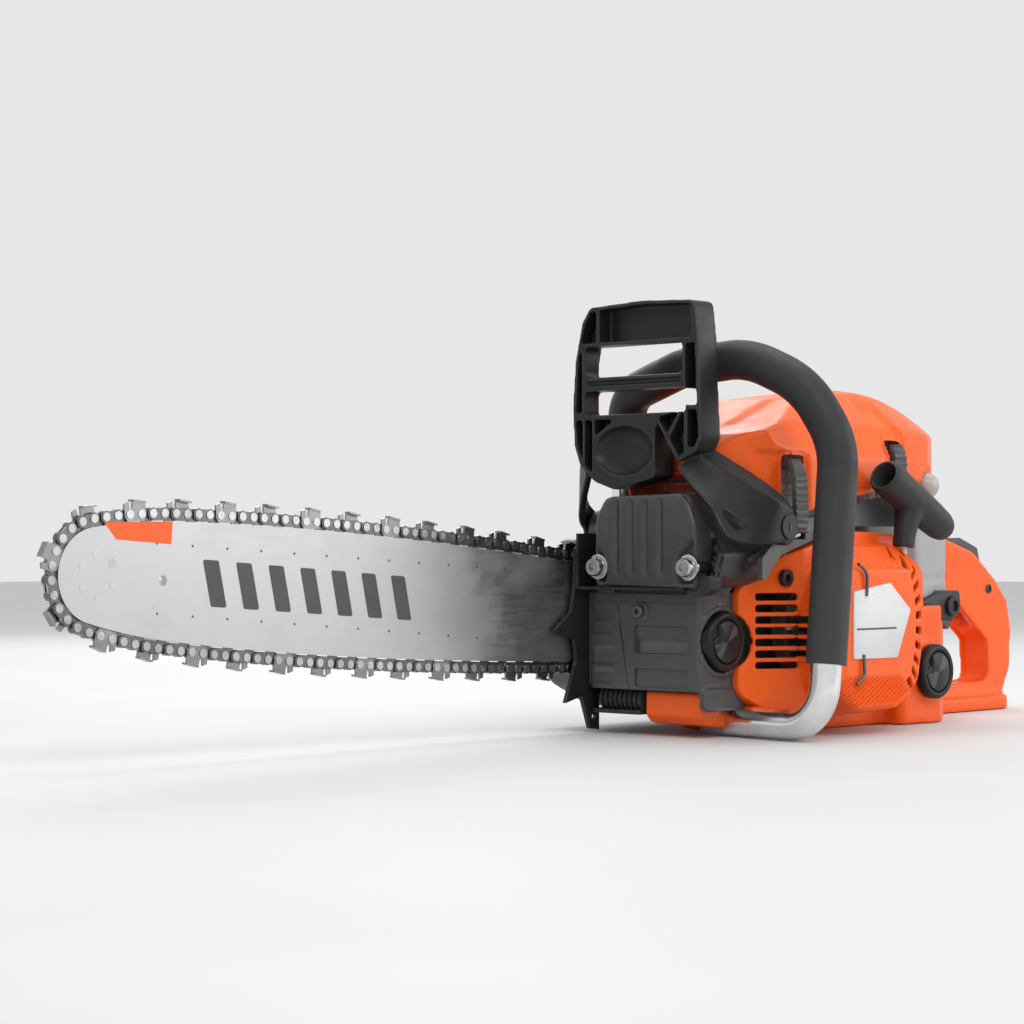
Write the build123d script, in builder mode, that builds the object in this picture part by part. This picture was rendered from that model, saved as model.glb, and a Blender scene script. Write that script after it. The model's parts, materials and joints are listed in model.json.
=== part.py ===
from build123d import *
from math import acos, atan2, cos, degrees, pi, radians, sin, sqrt
import os

os.makedirs("parts", exist_ok=True)

# ---------------------------------------------------------------------------
# Chainsaw. Millimetres. The guide bar points along -X, the starter is on the
# -Y side, the clutch and the bar are on the +Y side, and +Z is up. The saw
# stands on the XY plane, on the flat underside of its tank and handle unit.
# ---------------------------------------------------------------------------

# Crank axis, parallel to Y
CRANK_X = 28.0
CRANK_Z = 71.5

# Guide bar and chain
BAR_Y = 55.0                # middle plane of the bar and the chain
BAR_TILT = 4.0              # degrees, nose up
BAR_THICK = 4.6
BAR_TAIL = 48.0             # from the crank axis, along the bar
BAR_WIDEST = 330.9
BAR_FLARE_END = 459.1
NOSE_CENTRE = 513.9
HALF_WIDEST = 37.6
REAR_FLARE_R = 4700.0
FRONT_FLARE_R = 2568.0
NOSE_R = 27.2
RIVET_ABOVE_RAIL = 4.6
GAUGE = 1.5                 # drive link thickness
GROOVE = 1.7
GROOVE_DEPTH = 8.0
CHAIN_PITCH = 8.255         # rivet to rivet, .325 inch chain
DRIVE_R = 18.4              # pitch radius of the seven-tooth drive sprocket
STRAP_THICK = 1.4
STUDS = (66.0, 92.0)        # bar studs, from the crank axis
STUD_R = 4.0

# Engine
BORE_R = 23.0
THROW = 18.0
WEB_R = 31.0
WEB_INNER = 7.0
WEB_OUTER = 15.5
JOURNAL_R = 7.5
CHAMBER_R = 32.8
CHAMBER_HALF = 17.0
BEARING_R = 17.5
BEARING_Y = (19.0, 30.0)
DECK_Z = 106.0
SPIGOT = 14.0               # depth of the cylinder's seat in the crankcase
ROD_LENGTH = 62.0

# Casings
CASE_FRONT = -84.0
CASE_LEFT = -40.0
CASE_RIGHT = 46.0
TANK_LEFT = -50.0           # outer face of the oil tank
WALL = 2.6
HUB_FACE = -108.0           # outer face of the starter housing
COVER_FACE = 92.0           # outer face of the clutch cover
FIT = 0.05                  # radial clearance of a running fit
GAP = 0.4                   # clearance between separate pieces

# Handles and the guard's pivots
PIVOT_X = -42.0
PIVOT_Z = 136.0
TUBE_R = 10.0
GRIP_R = 13.0
GRIP_HALF = 14.0            # half width of the rear handle


# ---------------------------------------------------------------------------
# Planes and plain bodies that the pieces share
# ---------------------------------------------------------------------------

def at_y(y):
    """Plane at one Y: sketch axes are X and Z, and extruding goes to -Y."""
    return Plane.XZ.offset(-y)


def bar_plane(y):
    """Plane at one Y with its first axis along the guide bar, from the crank."""
    tilt = radians(BAR_TILT)
    return Plane(origin=(CRANK_X, y, CRANK_Z), x_dir=(-cos(tilt), 0, sin(tilt)), z_dir=(0, 1, 0))


def bar_point(along, above=0.0):
    """X and Z of a point given along the bar and above its centre line."""
    tilt = radians(BAR_TILT)
    x = CRANK_X - along * cos(tilt) + above * sin(tilt)
    z = CRANK_Z + along * sin(tilt) + above * cos(tilt)
    return x, z


def prism(points, radius, low, high, inset=0.0):
    """Rounded outline in X and Z, solid from Y = low to Y = high."""
    with BuildPart() as body:
        with BuildSketch(at_y(high)) as outline:
            Polygon(*points, align=None)
            if radius:
                fillet(outline.vertices(), radius)
            if inset:
                offset(amount=-inset, mode=Mode.REPLACE)
        extrude(amount=high - low)
    return body.part


def slab(points, radius, low, high, inset=0.0):
    """Rounded outline in X and Y, solid from Z = low to Z = high."""
    with BuildPart() as body:
        with BuildSketch(Plane.XY.offset(low)) as outline:
            Polygon(*points, align=None)
            if radius:
                fillet(outline.vertices(), radius)
            if inset:
                offset(amount=-inset, mode=Mode.REPLACE)
        extrude(amount=high - low)
    return body.part


def section(points, radius, low, high, inset=0.0):
    """Rounded outline in Y and Z, solid from X = low to X = high."""
    with BuildPart() as body:
        with BuildSketch(Plane.YZ.offset(low)) as outline:
            Polygon(*points, align=None)
            if radius:
                fillet(outline.vertices(), radius)
            if inset:
                offset(amount=-inset, mode=Mode.REPLACE)
        extrude(amount=high - low)
    return body.part


def rod(plane, length, radius, bore=0.0):
    """Cylinder or ring that stands on a plane's origin."""
    with BuildPart() as body:
        with BuildSketch(plane):
            Circle(radius)
            if bore:
                Circle(bore, mode=Mode.SUBTRACT)
        extrude(amount=length)
    return body.part


def rod_y(x, z, radius, low, high, bore=0.0):
    return rod(Plane(origin=(x, low, z), z_dir=(0, 1, 0)), high - low, radius, bore)


def rod_z(x, y, radius, low, high, bore=0.0):
    return rod(Plane(origin=(x, y, low)), high - low, radius, bore)


def rod_x(y, z, radius, low, high, bore=0.0):
    return rod(Plane(origin=(low, y, z), z_dir=(1, 0, 0)), high - low, radius, bore)


def block(x, y, z):
    """Plain box between two X, two Y and two Z values."""
    with BuildPart() as body:
        with BuildSketch(Plane.XY.offset(z[0])):
            with Locations(((x[0] + x[1]) / 2, (y[0] + y[1]) / 2)):
                Rectangle(x[1] - x[0], y[1] - y[0])
        extrude(amount=z[1] - z[0])
    return body.part


pieces = {}

# ---------------------------------------------------------------------------
# Crankcase: two cast halves that meet at Y = 0, with the oil tank in front
# ---------------------------------------------------------------------------

CASE_OUTLINE = [(CASE_FRONT, 30), (CASE_FRONT, 93.5), (-22, 93.5), (-17, DECK_Z), (80, DECK_Z),
                (92, 92), (92, 40), (82, 20), (2, 20), (-8, 30)]
OIL_TANK = [(-79, 34), (-79, 88), (-42, 88), (-12, 70), (-12, 34)]
OIL_CAP_X = -66.0
OIL_CAP_Z = 62.0
OIL_CAP_R = 19.0
OIL_NECK_R = 12.5


def crank_space(low, high):
    """Everything in the casting that the crankshaft and its bearings fill."""
    with BuildPart() as space:
        add(rod_y(CRANK_X, CRANK_Z, CHAMBER_R, max(low, -CHAMBER_HALF), min(high, CHAMBER_HALF)))
        side = 1 if high > 0 else -1
        for radius, inner, outer in ((BEARING_R, CHAMBER_HALF, BEARING_Y[1]), (10.0, 28.0, 60.0)):
            ends = sorted((side * inner, side * outer))
            add(rod_y(CRANK_X, CRANK_Z, radius, ends[0], ends[1]))
        add(rod_z(CRANK_X, 0, BORE_R, DECK_Z - SPIGOT, DECK_Z + 5))
    return space.part


with BuildPart() as crankcase_left:
    add(prism(CASE_OUTLINE, 4, CASE_LEFT, 0))
    add(prism([(CASE_FRONT, 30), (CASE_FRONT, 93.5), (-46, 93.5), (-46, 30)], 4, TANK_LEFT, CASE_LEFT + 5))
    add(crank_space(CASE_LEFT - 10, 0), mode=Mode.SUBTRACT)
    add(prism(OIL_TANK, 4, CASE_LEFT + 4, 0), mode=Mode.SUBTRACT)
    add(rod_y(OIL_CAP_X, OIL_CAP_Z, OIL_NECK_R, TANK_LEFT - 5, CASE_LEFT + 8), mode=Mode.SUBTRACT)
    for x in (-79, -71, -63):
        add(block((x, x + 3), (TANK_LEFT - 1.2, TANK_LEFT + 1), (84, 91)))
pieces["crankcase_left"] = crankcase_left

with BuildPart() as crankcase_right:
    add(prism(CASE_OUTLINE, 4, 0, CASE_RIGHT))
    with BuildSketch(bar_plane(CASE_RIGHT)) as bar_pad:
        with Locations((74, 0)):
            RectangleRounded(46, 34, 8)
    extrude(amount=BAR_Y - BAR_THICK / 2 - FIT - CASE_RIGHT)
    add(crank_space(0, CASE_RIGHT + 10), mode=Mode.SUBTRACT)
    add(prism(OIL_TANK, 4, 0, CASE_RIGHT - 6), mode=Mode.SUBTRACT)
    for stud in STUDS:
        x, z = bar_point(stud)
        add(rod_y(x, z, STUD_R, CASE_RIGHT - 5, CASE_RIGHT + 10), mode=Mode.SUBTRACT)
    for z in (42, 56, 70, 84):
        add(block((CASE_FRONT - 1.6, CASE_FRONT + 1), (8, 40), (z - 2, z + 2)))
pieces["crankcase_right"] = crankcase_right

# ---------------------------------------------------------------------------
# Crank train
# ---------------------------------------------------------------------------

with BuildPart() as main_bearings:
    for low, high in ((-BEARING_Y[1], -BEARING_Y[0]), BEARING_Y):
        add(rod_y(CRANK_X, CRANK_Z, BEARING_R, low, high, JOURNAL_R + FIT))
pieces["main_bearings"] = main_bearings

with BuildPart() as crankshaft:
    for low, high in ((-WEB_OUTER, -WEB_INNER), (WEB_INNER, WEB_OUTER)):
        add(rod_y(CRANK_X, CRANK_Z, WEB_R, low, high))
        add(rod_y(CRANK_X, CRANK_Z + THROW + 4, 10, low - 1, high + 1), mode=Mode.SUBTRACT)
    add(rod_y(CRANK_X, CRANK_Z, JOURNAL_R, -88, -WEB_INNER))
    add(rod_y(CRANK_X, CRANK_Z, JOURNAL_R, WEB_INNER, 82))
pieces["crankshaft"] = crankshaft

PIN_Z = CRANK_Z + THROW                 # crank pin at top dead centre
WRIST_Z = PIN_Z + ROD_LENGTH
CROWN_Z = WRIST_Z + 18.0
SKIRT = 12.0                            # below the wrist pin, clear of the webs

with BuildPart() as connecting_rod:
    add(rod_y(CRANK_X, PIN_Z, 12, -5.5, 5.5))
    add(rod_y(CRANK_X, WRIST_Z, 9, -5.5, 5.5))
    add(block((CRANK_X - 5, CRANK_X + 5), (-3, 3), (PIN_Z, WRIST_Z)))
    add(rod_y(CRANK_X, PIN_Z, 7 + FIT, -6, 6), mode=Mode.SUBTRACT)
    add(rod_y(CRANK_X, WRIST_Z, 5 + FIT, -6, 6), mode=Mode.SUBTRACT)
    add(rod_y(CRANK_X, PIN_Z, 7, -WEB_INNER + GAP, WEB_INNER - GAP))
    add(rod_y(CRANK_X, WRIST_Z, 5, -20, 20, 3))
pieces["connecting_rod"] = connecting_rod

with BuildPart() as piston:
    add(rod_z(CRANK_X, 0, BORE_R - FIT, WRIST_Z - SKIRT, CROWN_Z))
    add(rod_z(CRANK_X, 0, BORE_R - 3, WRIST_Z - SKIRT - 2, CROWN_Z - 4), mode=Mode.SUBTRACT)
    for low, high in ((-20.5, -8), (8, 20.5)):
        add(rod_y(CRANK_X, WRIST_Z, 8, low, high))
    add(rod_y(CRANK_X, WRIST_Z, 5 + FIT, -25, 25), mode=Mode.SUBTRACT)
    for z in (CROWN_Z - 5, CROWN_Z - 9):
        add(rod_z(CRANK_X, 0, BORE_R + 1, z, z + 1.2, BORE_R - 1.2), mode=Mode.SUBTRACT)
pieces["piston"] = piston

# ---------------------------------------------------------------------------
# Cylinder, spark plug and ignition
# ---------------------------------------------------------------------------

FIN_OUTLINE = [(CRANK_X - 44, -42), (CRANK_X - 44, 42), (CRANK_X + 42, 42), (CRANK_X + 42, -42)]
PLUG_X = CRANK_X + 8

with BuildPart() as cylinder:
    add(rod_z(CRANK_X, 0, BORE_R + 4, DECK_Z, CROWN_Z + 8))
    add(slab([(x, y * 32 / 42) for x, y in FIN_OUTLINE], 5, DECK_Z, DECK_Z + 5))
    for level in range(7):
        z = DECK_Z + 18 + level * 8.5
        add(slab(FIN_OUTLINE, 8, z, z + 2.4))
    add(rod_x(0, 136, 13, -24, CRANK_X))
    add(rod_x(0, 130, 13, CRANK_X, 80))
    add(rod_z(PLUG_X, 0, 10, CROWN_Z, CROWN_Z + 12))
    add(rod_z(CRANK_X, 0, BORE_R, DECK_Z - 1, CROWN_Z + 2), mode=Mode.SUBTRACT)
    add(rod_x(0, 136, 9, -30, CRANK_X), mode=Mode.SUBTRACT)
    add(rod_x(0, 130, 9, CRANK_X, 85), mode=Mode.SUBTRACT)
    add(rod_z(PLUG_X, 0, 6, CROWN_Z, CROWN_Z + 20), mode=Mode.SUBTRACT)
pieces["cylinder"] = cylinder

with BuildPart() as spark_plug:
    add(rod_z(PLUG_X, 0, 6, CROWN_Z + 3, CROWN_Z + 12.1))
    with BuildSketch(Plane.XY.offset(CROWN_Z + 12.1)):
        with Locations((PLUG_X, 0)):
            RegularPolygon(10, 6)
    extrude(amount=6)
    add(rod_z(PLUG_X, 0, 5, CROWN_Z + 18, CROWN_Z + 36))
pieces["spark_plug"] = spark_plug

MODULE_Y = (-66.0, -54.0)
with BuildPart() as ignition_module:
    add(block((CRANK_X - 16, CRANK_X + 20), MODULE_Y, (CRANK_Z + 46, CRANK_Z + 53)))
    for x in (CRANK_X - 14, CRANK_X + 8):
        add(block((x, x + 8), (-63, -57), (CRANK_Z + 44, CRANK_Z + 46)))
pieces["ignition_module"] = ignition_module

LEAD_POINTS = [(CRANK_X + 14, -60, CRANK_Z + 53), (CRANK_X + 14, -60, 186), (PLUG_X + 16, -34, 212),
               (PLUG_X, -9.5, 213)]
with BuildPart() as ignition_lead:
    with BuildLine():
        lead_path = FilletPolyline(*LEAD_POINTS, radius=(18, 14))
    with BuildSketch(Plane(origin=LEAD_POINTS[0])):
        Circle(3)
    sweep(path=lead_path)
    add(rod_z(PLUG_X, 0, 9.5, CROWN_Z + 19, CROWN_Z + 47, 5 + FIT))
    add(rod_z(PLUG_X, 0, 9.5, CROWN_Z + 38, CROWN_Z + 47))
pieces["ignition_lead"] = ignition_lead

# ---------------------------------------------------------------------------
# Flywheel and recoil starter, on the left
# ---------------------------------------------------------------------------

FLYWHEEL_Y = (-73.0, -53.0)
FLYWHEEL_R = 43.0
PULLEY_Y = (-101.0, -90.0)
PULLEY_R = 33.0

with BuildPart() as flywheel:
    add(rod_y(CRANK_X, CRANK_Z, FLYWHEEL_R, FLYWHEEL_Y[0] + 8, FLYWHEEL_Y[1], JOURNAL_R + FIT))
    add(rod_y(CRANK_X, CRANK_Z, FLYWHEEL_R - 6, FLYWHEEL_Y[1] - 7, FLYWHEEL_Y[1] + 1, 18), mode=Mode.SUBTRACT)
    with BuildSketch(Plane(origin=(CRANK_X, FLYWHEEL_Y[0], CRANK_Z), z_dir=(0, 1, 0))):
        with PolarLocations(29, 18):
            with Locations(Rotation(0, 0, 25)):
                Rectangle(24, 2)
    extrude(amount=9)
pieces["flywheel"] = flywheel

with BuildPart() as rope_pulley:
    add(rod_y(CRANK_X, CRANK_Z, PULLEY_R + 4, PULLEY_Y[0], PULLEY_Y[1], 9 + FIT))
    add(rod_y(CRANK_X, CRANK_Z, PULLEY_R + 5, PULLEY_Y[0] + 2, PULLEY_Y[1] - 2, PULLEY_R - 11),
        mode=Mode.SUBTRACT)
pieces["rope_pulley"] = rope_pulley

ROPE_R = 1.75
ROPE_Y = (PULLEY_Y[0] + PULLEY_Y[1]) / 2
ROPE_EXIT_X = 76.0
with BuildPart() as rope_winding:
    add(rod_y(CRANK_X, CRANK_Z, PULLEY_R, PULLEY_Y[0] + 2.2, PULLEY_Y[1] - 2.2, PULLEY_R - 10.8))
pieces["rope_winding"] = rope_winding

SPRING_STEP = 1.3
with BuildPart() as recoil_spring:
    with BuildSketch(Plane(origin=(CRANK_X, PULLEY_Y[1] + 1, CRANK_Z), z_dir=(0, 1, 0))):
        with BuildLine():
            reach = 13.0
            for half in range(12):
                wider = reach + SPRING_STEP
                middle = (wider - reach) / 2 * (1 if half % 2 else -1)
                CenterArc((middle, 0), (wider + reach) / 2, 180 * (half % 2), 180)
                reach = wider
        trace(line_width=0.8)
    extrude(amount=6)
pieces["recoil_spring"] = recoil_spring

HOUSING_OUTLINE = [(-54, 28), (-54, 96), (-34, 116), (30, 134), (88, 132), (106, 108), (112, 60),
                   (100, 22), (60, 12), (-30, 12)]
HUB_OUTLINE = [(-16, 30), (-22, 70), (-12, 106), (22, 124), (80, 124), (97, 106), (99, 66),
               (84, 32), (50, 16), (8, 16)]
SHELF_Y = -80.0
SLOPE_Z = 108.0             # above this the hub slopes back at 45 degrees
CAP_CLEARANCE = OIL_CAP_R + 2.0

HOUSING_PLAN = [(-54, -50), (-54, -57), (-14, -80), (112, -80), (112, -50)]
HOUSING_SCREWS = [(-26, -73.2, 103), (98, -80, 98), (92, -80, 28)]


def housing_base(inset, high):
    """Lower step of the housing, with its front corner swept back."""
    with BuildPart() as base:
        add(prism(HOUSING_OUTLINE, 10, -90, high, inset))
        add(slab(HOUSING_PLAN, 0, 0, 200, inset), mode=Mode.INTERSECT)
    return base.part


def hub_slope(inset):
    """What the sloping top of the hub leaves off, or the same drawn in by one wall."""
    low = SLOPE_Z - inset
    return section([(-130, low - 22), (-130, 150), (HUB_FACE + 150 - low, 150), (HUB_FACE, low)], 0, -40, 120)


def housing_hollow():
    """Room inside the housing, open towards the crankcase."""
    with BuildPart() as hollow:
        add(prism(HOUSING_OUTLINE, 10, -55, -49, WALL))
        add(housing_base(WALL, TANK_LEFT - 1))
        add(prism(HUB_OUTLINE, 14, HUB_FACE + WALL + 1, SHELF_Y + 5, WALL))
        add(hub_slope(1.5 * WALL), mode=Mode.SUBTRACT)
    return hollow.part


with BuildPart() as starter_housing:
    add(housing_base(0, TANK_LEFT - 1))
    add(prism(HUB_OUTLINE, 14, HUB_FACE, SHELF_Y + 1))
    chamfer(starter_housing.faces().sort_by(Axis.Y)[0].edges(), 3.5)
    add(hub_slope(0), mode=Mode.SUBTRACT)
    add(housing_hollow(), mode=Mode.SUBTRACT)
    for louvre in range(7):
        z = 44 + louvre * 7.4
        add(block((-44, -17), (-90, -52), (z, z + 4.4)), mode=Mode.SUBTRACT)
    for step in range(11):
        angle = radians(-46 + step * 10.4)
        middle = (CRANK_X + 56 * cos(angle), CRANK_Z + 56 * sin(angle))
        slot_plane = Plane(origin=(middle[0], HUB_FACE - 5, middle[1]),
                           x_dir=(cos(angle), 0, sin(angle)), z_dir=(0, 1, 0))
        with BuildSketch(slot_plane):
            Rectangle(12, 4.6)
        extrude(amount=24, mode=Mode.SUBTRACT)
    add(rod_y(OIL_CAP_X, OIL_CAP_Z, CAP_CLEARANCE, -100, TANK_LEFT + 1), mode=Mode.SUBTRACT)
    add(rod_z(ROPE_EXIT_X, ROPE_Y, 3.2, 100, 140), mode=Mode.SUBTRACT)
    add(rod_z(CRANK_X + 14, -60, 4.2, 110, 140), mode=Mode.SUBTRACT)
    add(rod_y(CRANK_X, CRANK_Z, 9, HUB_FACE + WALL, PULLEY_Y[1]))
    for x, y, z in HOUSING_SCREWS:
        add(rod_y(x, z, 5.6, y - 9, y + 1.2), mode=Mode.SUBTRACT)
pieces["starter_housing"] = starter_housing

LABEL_OUTLINE = [(-4, 48), (-4, 89), (44, 100), (60, 81), (48, 48)]
with BuildPart() as label_plate:
    add(prism(LABEL_OUTLINE, 3, HUB_FACE - 1.2, HUB_FACE))
pieces["label_plate"] = label_plate

# Pull handle: a tube across the top of a short neck that the rope comes out of
HANDLE_MIDDLE = (ROPE_EXIT_X + 12, ROPE_Y, 153.0)
HANDLE_TILT = -27.0
NECK_BASE = 134.5
handle_plane = Plane(origin=HANDLE_MIDDLE, x_dir=(0, 1, 0),
                     z_dir=(cos(radians(HANDLE_TILT)), 0, sin(radians(HANDLE_TILT))))
with BuildPart() as starter_handle:
    with BuildSketch(handle_plane.offset(-40)):
        Ellipse(12, 10.5)
    with BuildSketch(handle_plane):
        Ellipse(12.5, 11.5)
    with BuildSketch(handle_plane.offset(42)):
        Ellipse(10, 9)
    loft(ruled=False)
    with BuildSketch(Plane(origin=(ROPE_EXIT_X, ROPE_Y, NECK_BASE))):
        Circle(8)
    with BuildSketch(Plane(origin=(ROPE_EXIT_X + 7, ROPE_Y, 152))):
        Circle(9.5)
    loft()
    with BuildSketch(handle_plane.offset(-41)):
        Ellipse(8.5, 7.2)
    extrude(amount=24, mode=Mode.SUBTRACT)
    add(rod_z(ROPE_EXIT_X, ROPE_Y, ROPE_R, 120, 148), mode=Mode.SUBTRACT)
pieces["starter_handle"] = starter_handle

with BuildPart() as starter_rope:
    with BuildLine():
        rope_path = FilletPolyline((CRANK_X + PULLEY_R + 2.5, ROPE_Y, CRANK_Z + 4),
                                   (CRANK_X + PULLEY_R + 3, ROPE_Y, 96), (ROPE_EXIT_X, ROPE_Y, 112),
                                   (ROPE_EXIT_X, ROPE_Y, NECK_BASE + 13), radius=(26, 26))
    with BuildSketch(Plane(origin=rope_path @ 0, z_dir=rope_path % 0)):
        Circle(ROPE_R - 0.02)
    sweep(path=rope_path)
pieces["starter_rope"] = starter_rope

# ---------------------------------------------------------------------------
# Muffler, in front of the cylinder
# ---------------------------------------------------------------------------

MUFFLER_X = (-100.0, -27.0)
MUFFLER_OUTLINE = [(-65, 99), (-54, 150), (-44, 158), (14, 158), (25, 150), (27, 99)]
MUFFLER_PLAN = [(-110, -66), (-72, -66), (-58, -48), (-27, -48), (-27, 28), (-110, 28)]
MUFFLER_BOLTS = [(-53, 109), (18.5, 109)]
BOLT_END = -74.0
MUFFLER_WALL = 2.0


def muffler_chamber():
    """Hollow of the muffler, one sheet's thickness inside its walls."""
    front, back = MUFFLER_X
    with BuildPart() as chamber:
        add(section(MUFFLER_OUTLINE, 5, front + MUFFLER_WALL, back - MUFFLER_WALL, MUFFLER_WALL))
        add(slab(MUFFLER_PLAN, 3, 80, 180, MUFFLER_WALL), mode=Mode.INTERSECT)
    return chamber.part


with BuildPart() as muffler:
    add(section(MUFFLER_OUTLINE, 5, MUFFLER_X[0], MUFFLER_X[1]))
    chamfer(muffler.faces().sort_by(Axis.X)[0].edges(), 3)
    add(slab(MUFFLER_PLAN, 3, 80, 180), mode=Mode.INTERSECT)
    add(muffler_chamber(), mode=Mode.SUBTRACT)
    add(rod_x(0, 136, 9, MUFFLER_X[1] - 5, MUFFLER_X[1] + 1), mode=Mode.SUBTRACT)
    for rib in range(5):
        y = -38 + rib * 10
        add(block((MUFFLER_X[0] - 2, MUFFLER_X[0] + 1), (y, y + 5), (112, 152)))
    add(block((MUFFLER_X[0] - 0.1, MUFFLER_X[0] + 4), (12, 17), (128, 142)), mode=Mode.SUBTRACT)
    for y, z in MUFFLER_BOLTS:
        add(rod_x(y, z, 7, MUFFLER_X[0] - 1, BOLT_END))
        add(rod_x(y, z, 3, MUFFLER_X[0] - 2, BOLT_END), mode=Mode.SUBTRACT)
pieces["muffler"] = muffler

with BuildPart() as muffler_bolts:
    for y, z in MUFFLER_BOLTS:
        add(rod_x(y, z, 3, MUFFLER_X[0] - 1, BOLT_END))
        add(rod_x(y, z, 7.5, MUFFLER_X[0] - 2.4, MUFFLER_X[0] - 1))
        add(rod_x(y, z, 5, MUFFLER_X[0] - 7, MUFFLER_X[0] - 2.4))
        with BuildSketch(Plane(origin=(MUFFLER_X[0] - 7, y, z), z_dir=(-1, 0, 0))):
            RegularPolygon(2.8, 6)
        extrude(amount=-3, mode=Mode.SUBTRACT)
pieces["muffler_bolts"] = muffler_bolts

with BuildPart() as heat_shield:
    add(section([(-48, 95), (-48, 97), (43, 97), (43, 132), (45, 132), (45, 95)], 0, -98, -25.2))
    add(section([(-46, 96), (-46, 156), (36, 156), (36, 96)], 0, -26.6, -25.2))
    add(rod_x(0, 136, 14, -30, -20), mode=Mode.SUBTRACT)
pieces["heat_shield"] = heat_shield

# ---------------------------------------------------------------------------
# Decompression valve, in front of the cylinder top
# ---------------------------------------------------------------------------

DECOMP = (-28.0, 0.0)
with BuildPart() as decompression_valve:
    add(rod_z(DECOMP[0], DECOMP[1], 8, 168, 180, 3 + FIT))
    add(block((DECOMP[0], -16.2), (-4, 4), (168, 176)))
    add(rod_z(DECOMP[0], DECOMP[1], 3 + FIT, 160, 190), mode=Mode.SUBTRACT)
pieces["decompression_valve"] = decompression_valve

with BuildPart() as decompression_button:
    add(rod_z(DECOMP[0], DECOMP[1], 3, 170, 186))
    add(rod_z(DECOMP[0], DECOMP[1], 7, 185, 189))
pieces["decompression_button"] = decompression_button

# ---------------------------------------------------------------------------
# Cylinder cover and the intake under it
# ---------------------------------------------------------------------------

COVER_SIDE = [(-66, 112), (-66, 186), (-50, 197), (-24, 204), (20, 222), (100, 231), (150, 229),
              (206, 218), (212, 196), (206, 112)]
COVER_TOP = [(-68, -40), (-40, -72), (-20, -78), (80, -78), (150, -64), (184, -44), (208, -16), (208, 30),
             (180, 52), (60, 60), (20, 56), (-20, 42), (-68, 32)]
COVER_FRONT = [(-80, 100), (-80, 178), (-66, 206), (-34, 232), (28, 232), (52, 212), (62, 178),
               (62, 100)]
COVER_EDGE = [(-120, 100), (-120, 172), (-66, 172), (-46, 138), (-24, 142), (36, 155), (90, 163),
              (126, 152), (220, 142), (220, 100)]


def cover_block(inset):
    """The cover's outer form, or the same form drawn in by one wall."""
    with BuildPart() as form:
        add(prism(COVER_SIDE, 9, -100, 100, inset))
        add(slab(COVER_TOP, 14, 80, 260, inset), mode=Mode.INTERSECT)
        add(section(COVER_FRONT, 16, -120, 240, inset), mode=Mode.INTERSECT)
    return form.part


CLIP_FRONT_X = (-29.0, -11.0)
CLIP_REAR_X = (90.0, 106.0)
BULB = (150.0, -62.0, 166.0)

with BuildPart() as cylinder_cover:
    add(cover_block(0))
    add(cover_block(WALL), mode=Mode.SUBTRACT)
    add(prism(COVER_EDGE, 0, -120, 120), mode=Mode.SUBTRACT)
    add(block((CLIP_FRONT_X[0] - 1, CLIP_FRONT_X[1] + 1), (-100, -70), (120, 183)), mode=Mode.SUBTRACT)
    add(block((CLIP_REAR_X[0] - 1, CLIP_REAR_X[1] + 1), (-100, -56), (120, 196)), mode=Mode.SUBTRACT)
    add(rod_y(BULB[0], BULB[2], 11, -90, -50), mode=Mode.SUBTRACT)
    add(rod_y(PIVOT_X, PIVOT_Z, 13, -90, -60), mode=Mode.SUBTRACT)
    add(rod_x(-70, 164, 2 - FIT, CLIP_REAR_X[0] - 3, CLIP_REAR_X[1] + 3))
    with BuildSketch(Plane.XY.offset(228)):
        with Locations((118, 6)):
            RectangleRounded(40, 10, 4)
    extrude(amount=5)
pieces["cylinder_cover"] = cylinder_cover


def cover_clip(x, low, high, outer):
    """Snap clip: a bowed strip with grip ribs and a pin eye at its foot."""
    with BuildPart() as clip:
        add(block(x, (outer, outer + 3), (low, high)))
        for rib in range(int((high - low) // 6)):
            z = low + 3 + rib * 6
            add(block(x, (outer - 1.6, outer), (z, z + 2.6)))
        add(block(x, (outer, outer + 7), (high - 3, high)))
        middle = (outer + 4, low)
        with BuildSketch(Plane.YZ.offset(x[0])):
            with Locations(middle):
                Circle(4)
        extrude(amount=x[1] - x[0])
        with BuildSketch(Plane.YZ.offset(x[0] - 1)):
            with Locations(middle):
                Circle(2)
        extrude(amount=x[1] - x[0] + 2, mode=Mode.SUBTRACT)
    return clip


cover_clip_front = cover_clip(CLIP_FRONT_X, 134, 180, -81)
pieces["cover_clip_front"] = cover_clip_front
cover_clip_rear = cover_clip(CLIP_REAR_X, 164, 192, -74)
pieces["cover_clip_rear"] = cover_clip_rear

# Grey wall between the cover and the starter housing; it carries the guard's
# left pivot and the pins of the two clips
PANEL_OUTLINE = [(-56, 99), (-56, 116), (-30, 137), (36, 151), (86, 158), (96, 146), (92, 137), (30, 137),
                 (-36, 118)]
PANEL_Y = (-78.0, -74.0)
with BuildPart() as side_panel:
    add(prism(PANEL_OUTLINE, 2, PANEL_Y[0], PANEL_Y[1]))
    add(rod_y(PIVOT_X, PIVOT_Z, 12, PANEL_Y[0], PANEL_Y[1]))
    add(rod_y(PIVOT_X, PIVOT_Z, 4 + FIT, -95, -60), mode=Mode.SUBTRACT)
    add(block((CLIP_FRONT_X[0] - 0.5, CLIP_FRONT_X[1] + 0.5), (-90, -60), (128, 150)), mode=Mode.SUBTRACT)
    add(rod_x(-77, 134, 2 - FIT, CLIP_FRONT_X[0] - 3, CLIP_FRONT_X[1] + 3))
pieces["side_panel"] = side_panel

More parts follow.
